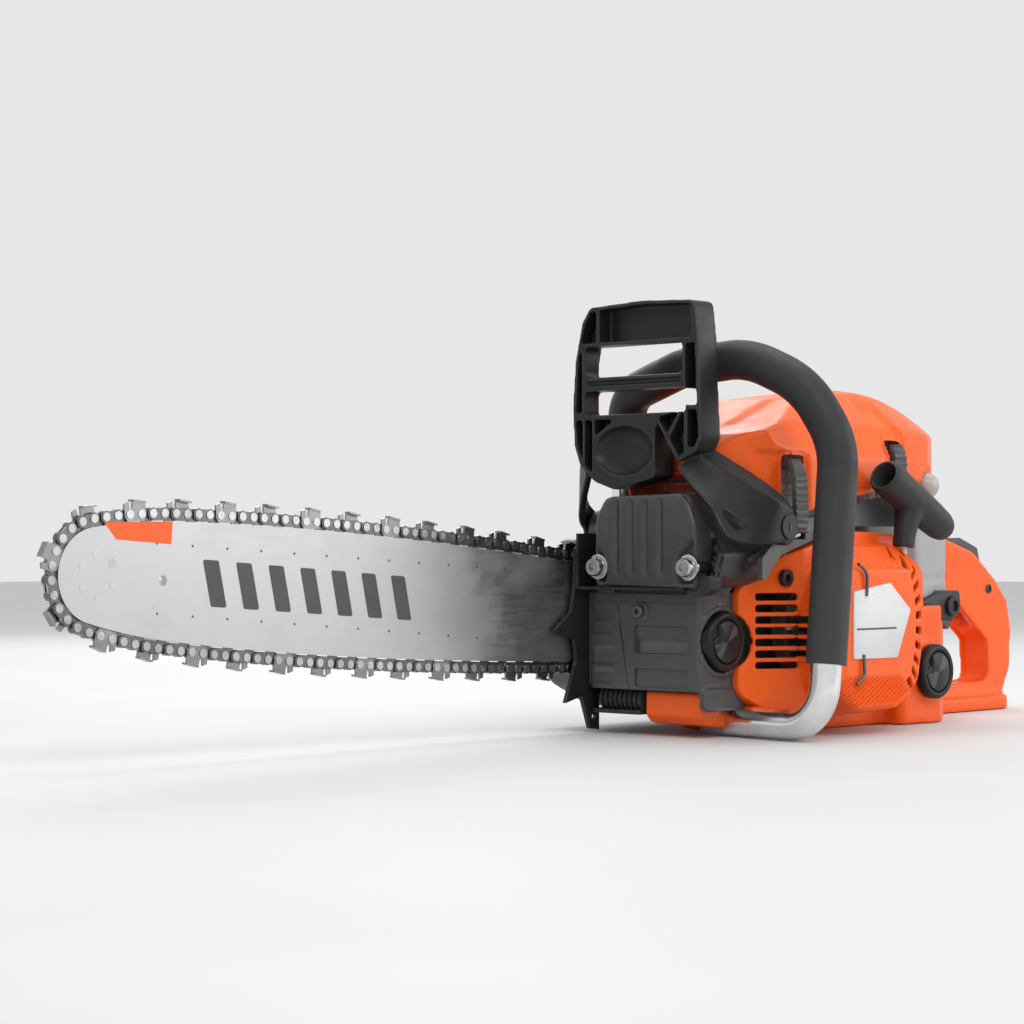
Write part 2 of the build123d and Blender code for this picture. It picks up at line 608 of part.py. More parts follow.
AIR_BOX_X = (112.0, 206.0)
AIR_BOX_PLAN = [(112, -36), (138, -62), (184, -56), (206, -30), (206, 34), (112, 36)]
with BuildPart() as air_box:
    add(slab(AIR_BOX_PLAN, 6, 86, 138))
    add(slab(AIR_BOX_PLAN, 6, 90, 140, 3), mode=Mode.SUBTRACT)
    add(rod_x(0, 122, 15, 105, 120), mode=Mode.SUBTRACT)
    add(rod_x(8, 126, 3, 200, 210), mode=Mode.SUBTRACT)
pieces["air_box"] = air_box

with BuildPart() as intake_boot:
    add(rod_x(0, 130, 16, 80.2, 84))
    with BuildSketch(Plane.YZ.offset(84)):
        with Locations((0, 130)):
            Circle(12)
    with BuildSketch(Plane.YZ.offset(116)):
        with Locations((0, 122)):
            Circle(14)
    loft()
    with BuildSketch(Plane.YZ.offset(80)):
        with Locations((0, 130)):
            Circle(9)
    with BuildSketch(Plane.YZ.offset(117)):
        with Locations((0, 122)):
            Circle(9)
    loft(mode=Mode.SUBTRACT)
pieces["intake_boot"] = intake_boot

BUTTERFLY_X = 134.0
with BuildPart() as carburettor:
    add(block((117.5, 150), (-20, 20), (104, 137)))
    add(rod_x(0, 122, 9, 110, 160), mode=Mode.SUBTRACT)
    add(rod_y(BUTTERFLY_X, 122, 2 + FIT, -30, 30), mode=Mode.SUBTRACT)
pieces["carburettor"] = carburettor

with BuildPart() as throttle_butterfly:
    add(rod_y(BUTTERFLY_X, 122, 2, -26, 24))
    add(rod_x(0, 122, 8.6, BUTTERFLY_X - 0.5, BUTTERFLY_X + 0.5))
    add(block((BUTTERFLY_X - 3, BUTTERFLY_X + 3), (21, 24), (108, 124)))
pieces["throttle_butterfly"] = throttle_butterfly

with BuildPart() as air_filter:
    add(slab([(112, -44), (176, -44), (188, -30), (188, 36), (112, 40)], 8, 142, 198))
    for groove in range(9):
        x = 116 + groove * 7.5
        add(block((x, x + 2.5), (-60, 60), (150, 200)), mode=Mode.SUBTRACT)
pieces["air_filter"] = air_filter

with BuildPart() as purge_bulb:
    with Locations(BULB):
        Sphere(9.5)
    add(block((BULB[0] - 12, BULB[0] + 12), (BULB[1], BULB[1] + 12), (BULB[2] - 12, BULB[2] + 12)),
        mode=Mode.SUBTRACT)
    add(rod_y(BULB[0], BULB[2], 9.5, BULB[1], BULB[1] + 8))
pieces["purge_bulb"] = purge_bulb

# ---------------------------------------------------------------------------
# Tank and rear handle: one moulded unit whose arm reaches under the engine
# ---------------------------------------------------------------------------

TANK_PLAN = [(98, -49), (115, -49), (115, -66), (160, -68), (186, -52), (204, -26), (226, -GRIP_HALF),
             (226, GRIP_HALF), (204, 52), (98, 58)]
TANK_SIDE = [(98, 0), (98, 70), (116, 82), (226, 82), (232, 60), (232, 0)]
LOOP_OUTLINE = [(214, 0), (214, 128), (232, 133), (284, 119), (314, 98), (330, 82), (335, 60),
                (333, 30), (322, 10), (296, 0)]
LOOP_OPENING = [(238, 20), (238, 88), (262, 82), (283, 66), (303, 52), (305, 22)]
FOOT_PLAN = [(226, -20), (226, 50), (322, 44), (330, 0), (322, -20)]
ARM_OUTLINE = [(110, 0), (-16, 0), (-24, 20.6), (-74, 20.6), (-74, 28), (-12, 28), (-2, 17), (110, 17)]
FUEL_CAP = (146.0, 36.0)
FUEL_CAP_R = 19.0
FUEL_FACE = -68.0
TRIGGER_PIN = (250.0, 100.0)
LOCKOUT_PIN = (268.0, 108.0)

with BuildPart() as rear_handle:
    add(slab(TANK_PLAN, 8, 0, 82))
    add(prism(TANK_SIDE, 6, -100, 100), mode=Mode.INTERSECT)
    add(slab(TANK_PLAN, 8, 4, 78, 4), mode=Mode.SUBTRACT)
    add(prism(LOOP_OUTLINE, 9, -GRIP_HALF, GRIP_HALF))
    add(prism(LOOP_OPENING, 7, -GRIP_HALF - 1, GRIP_HALF + 1), mode=Mode.SUBTRACT)
    add(slab(FOOT_PLAN, 8, 0, 10))
    add(prism(ARM_OUTLINE, 3, -49, 24))
    add(rod_y(FUEL_CAP[0], FUEL_CAP[1], FUEL_CAP_R + 3, FUEL_FACE, -50))
    add(rod_y(FUEL_CAP[0], FUEL_CAP[1], 13, -80, -40), mode=Mode.SUBTRACT)
    add(block((242, 290), (-5, 5), (55, 112)), mode=Mode.SUBTRACT)
    add(block((262, 308), (-6.5, 6.5), (101, 140)), mode=Mode.SUBTRACT)
    add(rod_x(0, 100, 3, 200, 245), mode=Mode.SUBTRACT)
    for x, z in (TRIGGER_PIN, LOCKOUT_PIN):
        add(rod_y(x, z, 2, -GRIP_HALF - 1, GRIP_HALF + 1), mode=Mode.SUBTRACT)
pieces["rear_handle"] = rear_handle

TRIGGER_OUTLINE = [(244, 105), (256, 105), (258, 88), (268, 66), (262, 60), (252, 72), (245, 88)]
with BuildPart() as throttle_trigger:
    add(prism(TRIGGER_OUTLINE, 2.5, -4.4, 4.4))
    add(rod_y(TRIGGER_PIN[0], TRIGGER_PIN[1], 2 + FIT, -10, 10), mode=Mode.SUBTRACT)
pieces["throttle_trigger"] = throttle_trigger

LOCKOUT_OUTLINE = [(264, 105), (264, 118), (276, 130), (300, 122), (304, 110), (284, 112), (272, 105)]
with BuildPart() as throttle_lockout:
    add(prism(LOCKOUT_OUTLINE, 2, -5.8, 5.8))
    add(rod_y(LOCKOUT_PIN[0], LOCKOUT_PIN[1], 2 + FIT, -10, 10), mode=Mode.SUBTRACT)
pieces["throttle_lockout"] = throttle_lockout

with BuildPart() as throttle_rod:
    add(rod_x(22.5, 110, 1.2, BUTTERFLY_X + 4, 200))
pieces["throttle_rod"] = throttle_rod

# Filler caps: a screwed plug, a rim with grip notches and a fold-out tab

def filler_cap(x, z, radius, face, neck):
    """Cap with its slot for the fold-out tab, closing a neck in a side wall."""
    with BuildPart() as cap:
        add(rod_y(x, z, radius, face - 7, face))
        with BuildSketch(Plane(origin=(x, face - 8, z), z_dir=(0, 1, 0))):
            with PolarLocations(radius + 0.6, 16):
                Circle(1.7)
        extrude(amount=9, mode=Mode.SUBTRACT)
        add(rod_y(x, z, neck - 0.4, face, face + 9))
        add(block((x - 2, x + 2), (face - 8, face - 2.4), (z - radius - 1, z + radius + 1)),
            mode=Mode.SUBTRACT)
    return cap


def cap_tab(x, z, radius, face):
    """Half-round tab that lies in the slot and hinges out at one edge."""
    with BuildPart() as tab:
        reach = radius - 3
        add(prism([(x - 1.6, z - reach + 1.5), (x - 1.6, z + reach), (x + 1.6, z + reach),
                   (x + 1.6, z - reach + 1.5)], 1, face - 7, face - 3.4))
        add(rod_x(face - 5.2, z - reach + 1.5, 1.8, x - 1.6, x + 1.6))
    return tab


oil_cap = filler_cap(OIL_CAP_X, OIL_CAP_Z, OIL_CAP_R, TANK_LEFT - GAP, OIL_NECK_R)
pieces["oil_cap"] = oil_cap
oil_cap_tab = cap_tab(OIL_CAP_X, OIL_CAP_Z, OIL_CAP_R, TANK_LEFT - GAP)
pieces["oil_cap_tab"] = oil_cap_tab
fuel_cap = filler_cap(FUEL_CAP[0], FUEL_CAP[1], FUEL_CAP_R, FUEL_FACE - GAP, 13)
pieces["fuel_cap"] = fuel_cap
fuel_cap_tab = cap_tab(FUEL_CAP[0], FUEL_CAP[1], FUEL_CAP_R, FUEL_FACE - GAP)
pieces["fuel_cap_tab"] = fuel_cap_tab

# ---------------------------------------------------------------------------
# Front handle
# ---------------------------------------------------------------------------

HANDLE_POINTS = [(-44, -24, TUBE_R), (-54, -124, TUBE_R), (-36, -124, 188), (-44, -104, 226),
                 (-50, -62, 246), (-47, -5, 242), (-36, 54, 226), (-14, 74, 146)]
HANDLE_RADII = (26, 58, 58, 64, 90, 30)


def along(a, b, share):
    """Point part of the way from one point to another."""
    return tuple(p + (q - p) * share for p, q in zip(a, b))


with BuildPart() as front_handle:
    with BuildLine():
        tube_path = FilletPolyline(*HANDLE_POINTS, radius=HANDLE_RADII)
    with BuildSketch(Plane(origin=tube_path @ 0, z_dir=tube_path % 0)):
        Circle(TUBE_R)
        Circle(TUBE_R - 2, mode=Mode.SUBTRACT)
    sweep(path=tube_path)
pieces["front_handle"] = front_handle

with BuildPart() as handle_grip:
    grip_start = along(HANDLE_POINTS[1], HANDLE_POINTS[2], 0.22)
    grip_end = along(HANDLE_POINTS[6], HANDLE_POINTS[7], 0.62)
    with BuildLine():
        grip_path = FilletPolyline(grip_start, *HANDLE_POINTS[2:7], grip_end, radius=HANDLE_RADII[1:])
    with BuildSketch(Plane(origin=grip_path @ 0, z_dir=grip_path % 0)):
        Circle(GRIP_R)
        Circle(TUBE_R + FIT, mode=Mode.SUBTRACT)
    sweep(path=grip_path)
pieces["handle_grip"] = handle_grip

# ---------------------------------------------------------------------------
# Front hand guard, which is also the chain brake lever
# ---------------------------------------------------------------------------

GUARD_FRAME = [(-66, 196), (-62, 280), (-50, 285), (36, 278), (52, 268), (58, 196), (44, 168), (-40, 168)]
GUARD_ARM_Y = (-87.0, -82.0)
GUARD_PLATE = 5.0
GUARD_ARM = [(PIVOT_X + 11, PIVOT_Z - 6), (PIVOT_X + 11, PIVOT_Z + 8), (-70, 192), (-92, 196), (-90, 150),
             (-84, 126), (PIVOT_X - 4, PIVOT_Z - 11)]
GUARD_ARM_RIGHT = [(-62, 161), (-62, 141), (PIVOT_X - 9, PIVOT_Z - 4), (PIVOT_X + 9, PIVOT_Z - 4),
                   (PIVOT_X + 9, PIVOT_Z + 6), (PIVOT_X - 4, PIVOT_Z + 11)]
GUARD_REACH = ((-86.0, 48.0), (-60.0, 76.5))    # where the right arm crosses from the frame, in plan

with BuildPart() as hand_guard:
    with BuildSketch(Plane.YZ.offset(-92)) as frame_outline:
        Polygon(*GUARD_FRAME, align=None)
        fillet(frame_outline.vertices(), 8)
        with Locations((-7, 246)):
            RectangleRounded(78, 20, 4, mode=Mode.SUBTRACT)
        with Locations((-5, 221)):
            RectangleRounded(80, 18, 4, mode=Mode.SUBTRACT)
    extrude(amount=20)
    add(prism(GUARD_ARM, 3, GUARD_ARM_Y[0], GUARD_ARM_Y[1]))
    add(block((-90, -74), (GUARD_ARM_Y[0], -60), (186, 196)))
    add(prism([(-78, 140), (-64, 140), (-58, 148), (-70, 150)], 1.5, -90, -70), mode=Mode.SUBTRACT)
    add(prism(GUARD_ARM_RIGHT, 3, 74, 79))
    (near_x, near_y), (far_x, far_y) = GUARD_REACH
    reach = sqrt((far_x - near_x) ** 2 + (far_y - near_y) ** 2)
    across = ((far_x - near_x) / reach, (far_y - near_y) / reach, 0)
    with BuildSketch(Plane(origin=(near_x, near_y, 0), x_dir=across, z_dir=(across[1], -across[0], 0))):
        Polygon((0, 196), (reach, 160), (reach, 142), (0, 168), align=None)
    extrude(amount=GUARD_PLATE / 2, both=True)
    for low, high in ((GUARD_ARM_Y[0], GUARD_ARM_Y[1]), (74, 79)):
        add(rod_y(PIVOT_X, PIVOT_Z, 11, low, high))
        add(rod_y(PIVOT_X, PIVOT_Z, 4 + FIT, low - 1, high + 1), mode=Mode.SUBTRACT)
pieces["hand_guard"] = hand_guard

with BuildPart() as pivot_pins:
    add(rod_y(PIVOT_X, PIVOT_Z, 4, GUARD_ARM_Y[0] - 0.4, PANEL_Y[1]))
    add(rod_y(PIVOT_X, PIVOT_Z, 8, GUARD_ARM_Y[0] - 3, GUARD_ARM_Y[0] - 0.4))
    add(rod_y(PIVOT_X, PIVOT_Z, 4, 66, 79.4))
    add(rod_y(PIVOT_X, PIVOT_Z, 8, 79.4, 82))
    for x, z in (TRIGGER_PIN, LOCKOUT_PIN):
        add(rod_y(x, z, 2, -GRIP_HALF + 1, GRIP_HALF - 1))
pieces["pivot_pins"] = pivot_pins

# ---------------------------------------------------------------------------
# Clutch, brake band and clutch cover
# ---------------------------------------------------------------------------

DRUM_Y = (61.0, 80.0)
DRUM_R = 37.5
with BuildPart() as clutch_drum:
    add(rod_y(CRANK_X, CRANK_Z, DRUM_R, DRUM_Y[0], DRUM_Y[1]))
    add(rod_y(CRANK_X, CRANK_Z, DRUM_R - 2, DRUM_Y[0] + 2, DRUM_Y[1] + 1), mode=Mode.SUBTRACT)
    for low, high in ((50.0, BAR_Y - 1.1), (BAR_Y + 1.1, 61.5)):
        add(rod_y(CRANK_X, CRANK_Z, 13.4, low, high))
    add(rod_y(CRANK_X, CRANK_Z, 8.6, 50, 62))
    add(rod_y(CRANK_X, CRANK_Z, JOURNAL_R + FIT, 45, 90), mode=Mode.SUBTRACT)
pieces["clutch_drum"] = clutch_drum

with BuildPart() as clutch:
    add(rod_y(CRANK_X, CRANK_Z, 14, 64, 78, JOURNAL_R + FIT))
    for turn in range(3):
        middle = turn * 120
        arm = radians(middle)
        arm_plane = Plane(origin=(CRANK_X, 66, CRANK_Z), x_dir=(cos(arm), 0, sin(arm)), z_dir=(0, 1, 0))
        with BuildSketch(arm_plane):
            with Locations((18, 0)):
                Rectangle(14, 8)
        extrude(amount=10)
    with BuildSketch(Plane(origin=(CRANK_X, 65, CRANK_Z), z_dir=(0, 1, 0))):
        Circle(34.8)
        Circle(25.6, mode=Mode.SUBTRACT)
        with PolarLocations(28, 3, start_angle=60):
            Rectangle(16, 5, mode=Mode.SUBTRACT)
    extrude(amount=12)
pieces["clutch"] = clutch

with BuildPart() as brake_band:
    with BuildSketch(Plane(origin=(CRANK_X, 64, CRANK_Z), z_dir=(0, 1, 0))):
        Circle(DRUM_R + 1.8)
        Circle(DRUM_R + 0.8, mode=Mode.SUBTRACT)
        with Locations((-DRUM_R, 20)):
            Rectangle(20, 20, mode=Mode.SUBTRACT)
    extrude(amount=12)
pieces["brake_band"] = brake_band

CLUTCH_OUTLINE = [(-88, 42), (-90, 98), (-66, 128), (-34, 133), (40, 128), (72, 112), (84, 72), (72, 30),
                  (40, 14), (-40, 14), (-74, 30)]
with BuildPart() as clutch_cover:
    add(prism(CLUTCH_OUTLINE, 8, CASE_RIGHT + GAP, COVER_FACE))
    chamfer(clutch_cover.faces().sort_by(Axis.Y)[-1].edges(), 4)
    add(prism(CLUTCH_OUTLINE, 8, CASE_RIGHT - 5, COVER_FACE - WALL, WALL), mode=Mode.SUBTRACT)
    add(block((-120, -56), (CASE_RIGHT - 5, 60.5), (0, 140)), mode=Mode.SUBTRACT)
    with BuildSketch(bar_plane(BAR_Y + BAR_THICK / 2 + FIT)):
        with Locations((80, 0)):
            RectangleRounded(56, 30, 6)
    extrude(amount=COVER_FACE - BAR_Y - BAR_THICK / 2 - 2)
    with BuildSketch(bar_plane(70)):
        with Locations((80, 0)):
            RectangleRounded(50, 22, 6)
    extrude(amount=40, mode=Mode.SUBTRACT)
    for stud in STUDS:
        x, z = bar_point(stud)
        add(rod_y(x, z, STUD_R + 0.3, 50, 80), mode=Mode.SUBTRACT)
    add(rod_y(PIVOT_X, PIVOT_Z, 13, 60, 74 - GAP))
    add(rod_y(PIVOT_X, PIVOT_Z, 15, 74 - GAP, COVER_FACE + 1), mode=Mode.SUBTRACT)
    add(rod_y(PIVOT_X, PIVOT_Z, 4, 66, 80), mode=Mode.SUBTRACT)
pieces["clutch_cover"] = clutch_cover

with BuildPart() as bar_studs_and_nuts:
    for stud in STUDS:
        x, z = bar_point(stud)
        add(rod_y(x, z, STUD_R, CASE_RIGHT - 5, 80))
        with BuildSketch(Plane(origin=(x, 70, z), z_dir=(0, 1, 0))):
            RegularPolygon(7.5, 6)
            Circle(STUD_R + FIT, mode=Mode.SUBTRACT)
        extrude(amount=8)
pieces["bar_studs_and_nuts"] = bar_studs_and_nuts

with BuildPart() as chain_catcher:
    add(block((-46, -30), (CASE_RIGHT + GAP, 60), (20.4, 27)))
pieces["chain_catcher"] = chain_catcher

# ---------------------------------------------------------------------------
# Spiked bumper, on the right front of the crankcase
# ---------------------------------------------------------------------------

BUMPER_Y = (46.8, 50.0)
BUMPER_OUTLINE = [(-73, 96), (-84, 98), (-90, 118), (-96, 122), (-96, 100), (-100, 80), (-116, 68), (-97, 62),
                  (-95, 48), (-106, 20), (-90, 24), (-82, 2), (-73, 1), (-73, 12)]
with BuildPart() as spike_bumper:
    add(prism(BUMPER_OUTLINE, 0, BUMPER_Y[0], BUMPER_Y[1]))
    add(rod_y(-78, 10, 2.2, 40, 60), mode=Mode.SUBTRACT)
    for z in (40, 86):
        add(rod_y(-79, z, 2.6, 40, 60), mode=Mode.SUBTRACT)
pieces["spike_bumper"] = spike_bumper

# ---------------------------------------------------------------------------
# Guide bar
# ---------------------------------------------------------------------------

def shoulder():
    """Centre and radius of the arc that joins the bar's flare to its nose."""
    height = HALF_WIDEST - (BAR_FLARE_END - BAR_WIDEST) ** 2 / (2 * FRONT_FLARE_R)
    slope = (BAR_FLARE_END - BAR_WIDEST) / FRONT_FLARE_R
    run = NOSE_CENTRE - BAR_FLARE_END
    radius = (run ** 2 + height ** 2 - NOSE_R ** 2) / (2 * (height * cos(slope) - run * sin(slope) - NOSE_R))
    centre = (BAR_FLARE_END - radius * sin(slope), height - radius * cos(slope))
    return centre, radius


def on_circle(centre, radius, along_bar):
    """Upper point of a circle at one place along the bar."""
    return (along_bar, centre[1] + sqrt(radius ** 2 - (along_bar - centre[0]) ** 2))


def stand_off(point, centre, gap):
    """The same point moved out from the circle's centre."""
    reach = sqrt((point[0] - centre[0]) ** 2 + (point[1] - centre[1]) ** 2)
    scale = (reach + gap) / reach
    return (centre[0] + (point[0] - centre[0]) * scale, centre[1] + (point[1] - centre[1]) * scale)


def upper_rail(gap, tail):
    """Points along the bar's upper edge, with arc middles between them."""
    rear = (BAR_WIDEST, HALF_WIDEST - REAR_FLARE_R)
    front = (BAR_WIDEST, HALF_WIDEST - FRONT_FLARE_R)
    bend, bend_r = shoulder()
    towards = sqrt((NOSE_CENTRE - bend[0]) ** 2 + bend[1] ** 2)
    join = (bend[0] + (NOSE_CENTRE - bend[0]) * bend_r / towards, bend[1] - bend[1] * bend_r / towards)
    stations = [(rear, REAR_FLARE_R, tail), (rear, REAR_FLARE_R, (tail + BAR_WIDEST) / 2),
                (front, FRONT_FLARE_R, BAR_WIDEST), (front, FRONT_FLARE_R, (BAR_WIDEST + BAR_FLARE_END) / 2),
                (bend, bend_r, BAR_FLARE_END), (bend, bend_r, (BAR_FLARE_END + join[0]) / 2),
                (bend, bend_r, join[0])]
    return [stand_off(on_circle(centre, radius, u), centre, gap) for centre, radius, u in stations]


def bar_edges(gap, tail):
    """Both rails and the nose, from the upper tail corner round to the lower one."""
    top = upper_rail(gap, tail)
    low = [(u, -v) for u, v in reversed(top)]
    for side in (top, low):
        for start in (0, 2, 4):
            ThreePointArc(*side[start:start + 3])
    ThreePointArc(top[-1], (NOSE_CENTRE + NOSE_R + gap, 0), low[0])


def bar_layer(gap, low, high, tail=BAR_TAIL):
    """A plate with the bar's outline, drawn in by the gap."""
    with BuildPart() as layer:
        with BuildSketch(bar_plane(low)):
            with BuildLine():
                bar_edges(gap, tail)
                top_corner = upper_rail(gap, tail)[0]
                Line(top_corner, (top_corner[0], -top_corner[1]))
            make_face()
        extrude(amount=high - low)
    return layer.part


MOUNT_HOLE = 468.2
TAIL_CORNER = [(BAR_TAIL - 1, 25), (BAR_TAIL + 11, 30), (BAR_TAIL - 1, 40)]     # room to slide back
with BuildPart() as guide_bar:
    add(bar_layer(0, BAR_Y - BAR_THICK / 2, BAR_Y + BAR_THICK / 2))
    groove_ring = bar_layer(3, BAR_Y - GROOVE / 2, BAR_Y + GROOVE / 2, BAR_TAIL - 5) - bar_layer(
        -GROOVE_DEPTH, BAR_Y - 2, BAR_Y + 2, BAR_TAIL + 8)
    add(groove_ring, mode=Mode.SUBTRACT)
    with BuildSketch(bar_plane(BAR_Y - GROOVE / 2)):
        with Locations((NOSE_CENTRE, 0)):
            Circle(NOSE_R - 2)
            Circle(9, mode=Mode.SUBTRACT)
    extrude(amount=GROOVE, mode=Mode.SUBTRACT)
    with BuildSketch(bar_plane(BAR_Y - BAR_THICK)):
        with Locations((78, 0)):
            SlotOverall(52, 2 * STUD_R + 0.4)
        with Locations((MOUNT_HOLE, 0)):
            Circle(3)
        for side in (-1, 1):
            with Locations((84, side * 17)):
                Circle(3.5)
            Polygon(*[(u, side * v) for u, v in TAIL_CORNER], align=None)
    extrude(amount=2 * BAR_THICK, mode=Mode.SUBTRACT)
pieces["guide_bar"] = guide_bar

NOSE_TEETH = 12
with BuildPart() as nose_sprocket:
    with BuildSketch(bar_plane(BAR_Y - 0.7)):
        with Locations((NOSE_CENTRE, 0)):
            Circle(18)
            with PolarLocations(18.8, NOSE_TEETH):
                RegularPolygon(2.8, 3)
            Circle(9 + FIT, mode=Mode.SUBTRACT)
    extrude(amount=1.4)
pieces["nose_sprocket"] = nose_sprocket

# ---------------------------------------------------------------------------
# Saw chain: every link stands between two neighbouring rivets of one loop
# ---------------------------------------------------------------------------

top_corner = upper_rail(RIVET_ABOVE_RAIL, BAR_TAIL)[0]
corner_reach = sqrt(top_corner[0] ** 2 + top_corner[1] ** 2)
leave = atan2(top_corner[1], top_corner[0]) + acos(DRIVE_R / corner_reach)
with BuildLine() as chain_line:
    bar_edges(RIVET_ABOVE_RAIL, BAR_TAIL)
    leaving = (DRIVE_R * cos(leave), DRIVE_R * sin(leave))
    Line(leaving, top_corner)
    Line((top_corner[0], -top_corner[1]), (leaving[0], -leaving[1]))
    ThreePointArc((leaving[0], -leaving[1]), (-DRIVE_R, 0), leaving)
chain_loop = Wire(chain_line.edges())

rivet_total = 8 * round(chain_loop.length / (8 * CHAIN_PITCH))
rivet_step = chain_loop.length / rivet_total
rivets = [chain_loop.position_at(i * rivet_step, position_mode=PositionMode.LENGTH)
          for i in range(rivet_total)]
if rivets[1].X < rivets[0].X:
    rivets.reverse()
print("chain rivets", rivet_total, "spacing", round(rivet_step, 3))


def link_location(index):
    """Place of a link: on one rivet, aimed at the next, outward side up."""
    start = rivets[index]
    end = rivets[(index + 1) % rivet_total]
    turn = degrees(atan2(end.Y - start.Y, end.X - start.X))
    return bar_plane(BAR_Y).location * Location((start.X, start.Y, 0), (0, 0, turn))


def plate_outline(foot, crown):
    """Two rounded ends joined by a waist, about two rivets."""
    with Locations((0, 0), (CHAIN_PITCH, 0)):
        Circle(3.5)
    with Locations((CHAIN_PITCH / 2, (crown - foot) / 2)):
        Rectangle(CHAIN_PITCH, crown + foot)


def rivet_holes():
    with Locations((0, 0), (CHAIN_PITCH, 0)):
        Circle(2.05, mode=Mode.SUBTRACT)


with BuildPart() as drive_link:
    with BuildSketch(Plane.XY.offset(-GAUGE / 2)):
        plate_outline(3.4, 2.6)
        Polygon((-0.5, -2.5), (1.8, -8.2), (4.2, -9.0), (8.0, -2.5), align=None)
        rivet_holes()
    extrude(amount=GAUGE)

STRAP_LOW = GAUGE / 2 + 0.05
with BuildPart() as tie_strap:
    with BuildSketch(Plane.XY.offset(STRAP_LOW)):
        plate_outline(RIVET_ABOVE_RAIL - 0.5, 3.0)
        rivet_holes()
    extrude(amount=STRAP_THICK)

CUTTER_SIDE = [(-3.4, -1.0), (-3.0, 7.2), (5.8, 8.4), (6.4, 3.6), (8.2, 3.2), (8.8, 7.2), (12.0, 6.0),
               (11.8, -1.0), (10.0, -4.1), (-1.6, -4.1)]
with BuildPart() as cutter:
    with BuildSketch(Plane.XY.offset(STRAP_LOW)):
        Polygon(*CUTTER_SIDE, align=None)
        rivet_holes()
    extrude(amount=STRAP_THICK)
    with BuildSketch(Plane.XY.offset(-2.2)):
        Polygon((-3.0, 6.1), (-3.0, 7.2), (5.8, 8.4), (5.7, 7.2), align=None)
    extrude(amount=2.2 + STRAP_LOW + STRAP_THICK + 0.6)

with BuildPart() as rivet:
    with BuildSketch(Plane.XY.offset(-STRAP_LOW - STRAP_THICK)):
        Circle(2)
    extrude(amount=2 * (STRAP_LOW + STRAP_THICK))
    for side in (-1, 1):
        with BuildSketch(Plane.XY.offset(side * (STRAP_LOW + STRAP_THICK))):
            Circle(2.5)
        extrude(amount=side * 0.5)

mirrored_strap = mirror(tie_strap.part, about=Plane.XY, mode=Mode.PRIVATE)
mirrored_cutter = mirror(cutter.part, about=Plane.XY, mode=Mode.PRIVATE)
drive_places = [link_location(i) for i in range(0, rivet_total, 2)]
tie_places = [link_location(i) for i in range(1, rivet_total, 2)]
left_cutters = [place for i, place in enumerate(tie_places) if i % 4 == 0]
right_cutters = [place for i, place in enumerate(tie_places) if i % 4 == 2]
left_straps = [place for i, place in enumerate(tie_places) if i % 4 != 0]
right_straps = [place for i, place in enumerate(tie_places) if i % 4 != 2]
chain = {
    "chain_drive_links": [drive_link.part.solid().moved(p) for p in drive_places],
    "chain_straps_and_rivets": [tie_strap.part.solid().moved(p) for p in left_straps]
    + [mirrored_strap.solid().moved(p) for p in right_straps]
    + [rivet.part.solid().moved(link_location(i)) for i in range(rivet_total)],
    "chain_cutters": [cutter.part.solid().moved(p) for p in left_cutters]
    + [mirrored_cutter.solid().moved(p) for p in right_cutters],
}

# ---------------------------------------------------------------------------
# Vibration mounts, oil pump and screws
# ---------------------------------------------------------------------------

with BuildPart() as av_mounts:
    for x, y in ((-66, -6), (-30, -50)):
        for ring in range(3):
            add(rod_z(x, y, 7.5 if ring % 2 == 0 else 6, 28 + ring * 0.62, 28.66 + ring * 0.62))
pieces["av_mounts"] = av_mounts

with BuildPart() as oil_pump:
    add(block((40, 68), (CASE_RIGHT, 49.8), (46, 66)))
pieces["oil_pump"] = oil_pump

with BuildPart() as housing_screws:
    for x, y, z in HOUSING_SCREWS:
        add(rod_y(x, z, 5.5, y - 2.6, y + 1.1))
        with BuildSketch(Plane(origin=(x, y - 2.6, z), z_dir=(0, -1, 0))):
            RegularPolygon(2.6, 6)
        extrude(amount=-2.4, mode=Mode.SUBTRACT)
pieces["housing_screws"] = housing_screws

for name, piece in pieces.items():
    piece.part.label = name
    export_step(piece.part, f"parts/{name}.step")

for name, solids in chain.items():
    links = Compound(children=solids)
    links.label = name
    export_step(links, f"parts/{name}.step")
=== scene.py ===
import json
import math

import bmesh
import bpy
import numpy as np
from mathutils import Matrix, Vector


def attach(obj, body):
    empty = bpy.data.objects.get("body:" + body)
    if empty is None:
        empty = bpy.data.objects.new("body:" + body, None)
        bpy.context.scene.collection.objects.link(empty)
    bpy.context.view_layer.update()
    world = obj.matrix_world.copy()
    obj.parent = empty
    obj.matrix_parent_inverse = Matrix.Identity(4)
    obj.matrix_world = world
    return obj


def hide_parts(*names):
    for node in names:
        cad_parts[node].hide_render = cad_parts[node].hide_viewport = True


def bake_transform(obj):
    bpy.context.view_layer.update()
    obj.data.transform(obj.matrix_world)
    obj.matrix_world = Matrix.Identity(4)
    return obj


# Chainsaw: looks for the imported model. Lengths in this file are millimetres
# in the model's own frame, and MM turns them into Blender's metres.
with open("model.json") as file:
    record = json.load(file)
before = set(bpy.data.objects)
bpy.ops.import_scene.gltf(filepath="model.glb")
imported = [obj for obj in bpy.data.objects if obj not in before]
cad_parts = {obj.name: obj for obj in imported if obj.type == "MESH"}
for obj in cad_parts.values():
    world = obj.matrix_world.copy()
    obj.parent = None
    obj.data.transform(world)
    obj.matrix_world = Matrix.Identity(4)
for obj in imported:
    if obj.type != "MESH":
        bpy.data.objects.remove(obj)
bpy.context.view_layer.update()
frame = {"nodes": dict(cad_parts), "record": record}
NODES = frame["nodes"]
MM = 0.001


# ---------------------------------------------------------------------------
# Shapes
# ---------------------------------------------------------------------------

